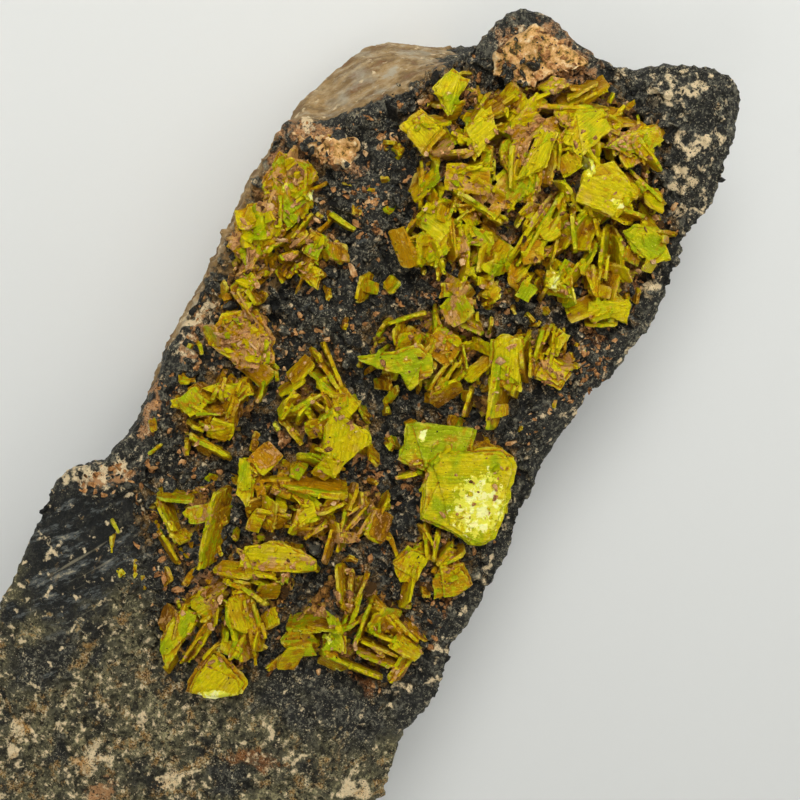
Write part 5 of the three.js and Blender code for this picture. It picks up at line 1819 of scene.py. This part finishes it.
@dataclass(frozen=True)
class EarthFinish:
    """Crumbly earth: clay, iron stain and mineral dust, dull all over.

    The eye sees grains of several earthy colours side by side.

    Args:
        name: name of the material.
        colours: its colours from the darkest.
        by_crumb: whether a crumb's own hue moves its colour.
        grain_size: size of its grains, in mm.
    """

    name: str
    colours: tuple[str, ...]
    by_crumb: bool = False
    grain_size: float = 0.38

    def material(self) -> Material:
        """Makes the material.

        Returns:
            The material.
        """
        finish = Finish(self.name, {
            "dust": (self.grain_size / 2, 3.0, 0.65), "grit": (self.grain_size * 1.5, 5.0, 0.7),
            "clouds": (2.2, 3.0, 0.6)}, ("hue", "crease"))
        # Painted shade: grains run a little darker in creases
        finish.noise["grains_and_crease_shade"] = finish.blend(
            (finish.noise["dust"], 0.28), (finish.noise["grit"], 0.44), (finish.noise["clouds"], 0.28),
            (finish.mark["crease"], -0.04))
        step = 1 / (len(self.colours) - 1)
        middle = 0.0 if self.by_crumb else -0.5
        layers = tuple(
            ("hue" if self.by_crumb else "", "grains_and_crease_shade", 5, middle + (i + 0.1) * step,
             middle + (i + 0.9) * step, 1.0, tint)
            for i, tint in enumerate(self.colours[1:])
        )
        colour = paint(finish.tree, linear(self.colours[0]), layers, finish.mark, finish.noise)
        return finish.close(colour, finish.noise["dust"], 0.15, Roughness=0.9, IOR=1.5,
                            Specular_IOR_Level=0.2)


@dataclass
class Studio:
    """Pale floor, soft daylight and the camera.

    Args:
        floor_size: length of the floor's sides, in m.
        paper: the floor's colour.
        sky: colour of the daylight from all around.
        sky_strength: its strength.
    """

    floor_size: float = 6.0
    paper: str = "#dbdcd8"
    sky: str = "#efefec"
    sky_strength: float = 0.27

    def basis(self) -> tuple[Vector, Vector, Vector]:
        """Finds the picture's directions on the object.

        Returns:
            Right, up and towards the viewer.
        """
        right = Vector((math.cos(STRIKE), -math.sin(STRIKE), 0))
        along = Vector((math.sin(STRIKE), math.cos(STRIKE), 0))
        back = along * math.sin(LEAN) + Vector((0, 0, math.cos(LEAN)))
        return right, back.cross(right), back

    def place_camera(self) -> Vector:
        """Puts the camera at the photograph's viewing angle.

        Returns:
            The place that it looks at, in metres.
        """
        right, up, back = self.basis()
        away_right = (PICTURE_SIZE / 2 - ORIGIN_PIXEL[0]) * MM_PER_PIXEL
        away_up = (ORIGIN_PIXEL[1] - PICTURE_SIZE / 2) * MM_PER_PIXEL
        level_up = Vector((up.x, up.y, 0)) / (up.x ** 2 + up.y ** 2)
        target = (Vector((0, 0, FACE)) + right * away_right + level_up * away_up * math.cos(LEAN)) * MM
        data = bpy.data.cameras.new("camera")
        data.sensor_width = SENSOR_MM
        data.lens = SENSOR_MM * CAMERA_DISTANCE / (PICTURE_SIZE * MM_PER_PIXEL)
        data.clip_start = 0.01
        camera = bpy.data.objects.new("camera", data)
        camera.matrix_world = Matrix((right, up, back)).transposed().to_4x4()
        camera.matrix_world.translation = target + back * CAMERA_DISTANCE * MM
        bpy.context.collection.objects.link(camera)
        bpy.context.scene.camera = camera
        return target

    def add_light(self, name: str, target: Vector, away: Vector, size: float, power: float,
                  spread: float = 180) -> None:
        """Adds a soft square light that faces the specimen.

        Args:
            name: its name.
            target: what it faces.
            away: from there to the light, in metres.
            size: length of its sides, in metres.
            power: its power, in watts.
            spread: angle that it shines into, in degrees.
        """
        data = bpy.data.lights.new(name, "AREA")
        data.size = size
        data.energy = power
        data.spread = math.radians(spread)
        light = bpy.data.objects.new(name, data)
        light.location = target + away
        light.rotation_euler = away.to_track_quat("Z", "Y").to_euler()
        bpy.context.collection.objects.link(light)

    def lay_floor(self) -> None:
        """Lays the pale floor."""
        deselect_all()
        bpy.ops.mesh.primitive_plane_add(size=self.floor_size)
        floor = bpy.context.object
        floor.name = "floor"
        material = bpy.data.materials.new("pale_paper")
        material.use_nodes = True
        surface = material.node_tree.nodes["Principled BSDF"]
        surface.inputs["Base Color"].default_value = linear(self.paper)
        surface.inputs["Roughness"].default_value = 0.9
        floor.data.materials.append(material)

    def build(self) -> None:
        """Sets up the whole studio."""
        self.lay_floor()
        target = self.place_camera()
        right, up, _ = self.basis()
        above = Vector((0, 0, 1))
        self.add_light("window", target + up * 0.12, above * 0.36 + right * 0.02 + up * 0.14, 0.3, 0.195, 40)
        self.add_light("ceiling", target, above * 1.1 + right * 0.15 + up * 0.25, 0.8, 4.0)
        self.add_light("far_wall", target, above * 0.5 + right * 0.7 + up * 0.45, 0.6, 0.7)
        self.add_light("glint", target, Vector((-0.2, 0.03, 0.8)), 0.16, 0.4)
        world = bpy.data.worlds.new("daylight")
        world.use_nodes = True
        background = world.node_tree.nodes["Background"]
        background.inputs["Color"].default_value = linear(self.sky)
        background.inputs["Strength"].default_value = self.sky_strength
        bpy.context.scene.world = world
        bpy.context.scene.view_settings.view_transform = "Standard"


def main() -> None:
    """Builds the specimen's looks and its studio."""
    logging.basicConfig(level=logging.INFO, format="%(name)s %(message)s")
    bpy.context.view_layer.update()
    bench = Bench(random.Random(Seed.SHAPES))
    autunite = AutuniteFinish().material()
    rock = RockFinish().material()
    crust = EarthFinish("ochre_crystal_crust", (
        "#4a3418", "#8a5f2c", "#b5823f", "#c0963c", "#b0a41c")).material()
    clay = EarthFinish("tan_clay", ("#4a4228", "#a8803f", "#d8a766", "#e0b478", "#ecd2a0")).material()
    earth = EarthFinish("tan_and_rusty_crumbs", (
        "#4a3018", "#8f6238", "#b8824c", "#cb985f", "#e0ba86"), by_crumb=True).material()
    ground_pieces = []
    for number, (name, plan) in enumerate(GROUPS.items()):
        rng = random.Random(Seed.GROUPS + number)
        ground_pieces.append(CrystalBed(name, plan.bed, plan.bed_height).build(crust))
        ground_pieces.append(CrystalGroup(name, plan, bench, rng).build(autunite))
    loose = CrystalGroup("loose_small", LOOSE_CRYSTALS, bench, random.Random(Seed.LOOSE))
    loose.scatter(CRYSTAL_FIELD, 260)
    loose.build(autunite)
    for node, waviness in (("clay_crust_east_end", 0.2), ("clay_crust_north_edge", 1.3)):
        ground_pieces.append(ClayCrust(node, waviness).build(clay))
    ground_pieces.append(RockMatrix().build(rock))
    ground = Ground(ground_pieces)
    dark = Crumbs("dark_rock_crumbs", "rock", ground, bench, random.Random(Seed.DARK), on_crystals=0.0)
    for oval, *amount in DARK_CRUMBS:
        dark.strew(Patch(*oval), *amount)
    dark.cover(CRYSTAL_FIELD, 1.3, 0.3, 1.3)
    dark.build(rock)
    tan = Crumbs("tan_clay_crumbs", "clay", ground, bench, random.Random(Seed.TAN))
    for oval, *amount in TAN_CRUMBS:
        tan.strew(Patch(*oval), *amount)
    for plan in GROUPS.values():
        tan.cover(plan.bed, 7, 0.12, 0.6)
    tan.cover(CRYSTAL_FIELD, 1.5, 0.12, 0.75)
    tan.build(earth)
    flakes = Crumbs("clay_film_flakes", "clay", ground, bench, random.Random(Seed.FLAKES),
                    hue=(0.6, 0.15), sink=0.3, on_crystals=0.8, flat=(0.2, 0.4))
    for patch in FILM_PATCHES:
        flakes.strew(patch, 4, 0.15, 0.7)
    flakes.cover(GROUPS["north_mass"].bed, 3, 0.2, 0.9)
    flakes.build(earth)
    shards = Crumbs("autunite_shards", "autunite", ground, bench, random.Random(Seed.SHARDS),
                    hue=(0.35, 0.25), on_crystals=0.3, flat=(0.2, 0.6))
    for plan in GROUPS.values():
        shards.cover(plan.bed, 1.6, 0.2, 0.8)
    shards.cover(GROUPS["north_mass"].bed, 6, 0.3, 1.2)
    shards.build(autunite)
    Studio().build()


if __name__ == "__main__":
    main()
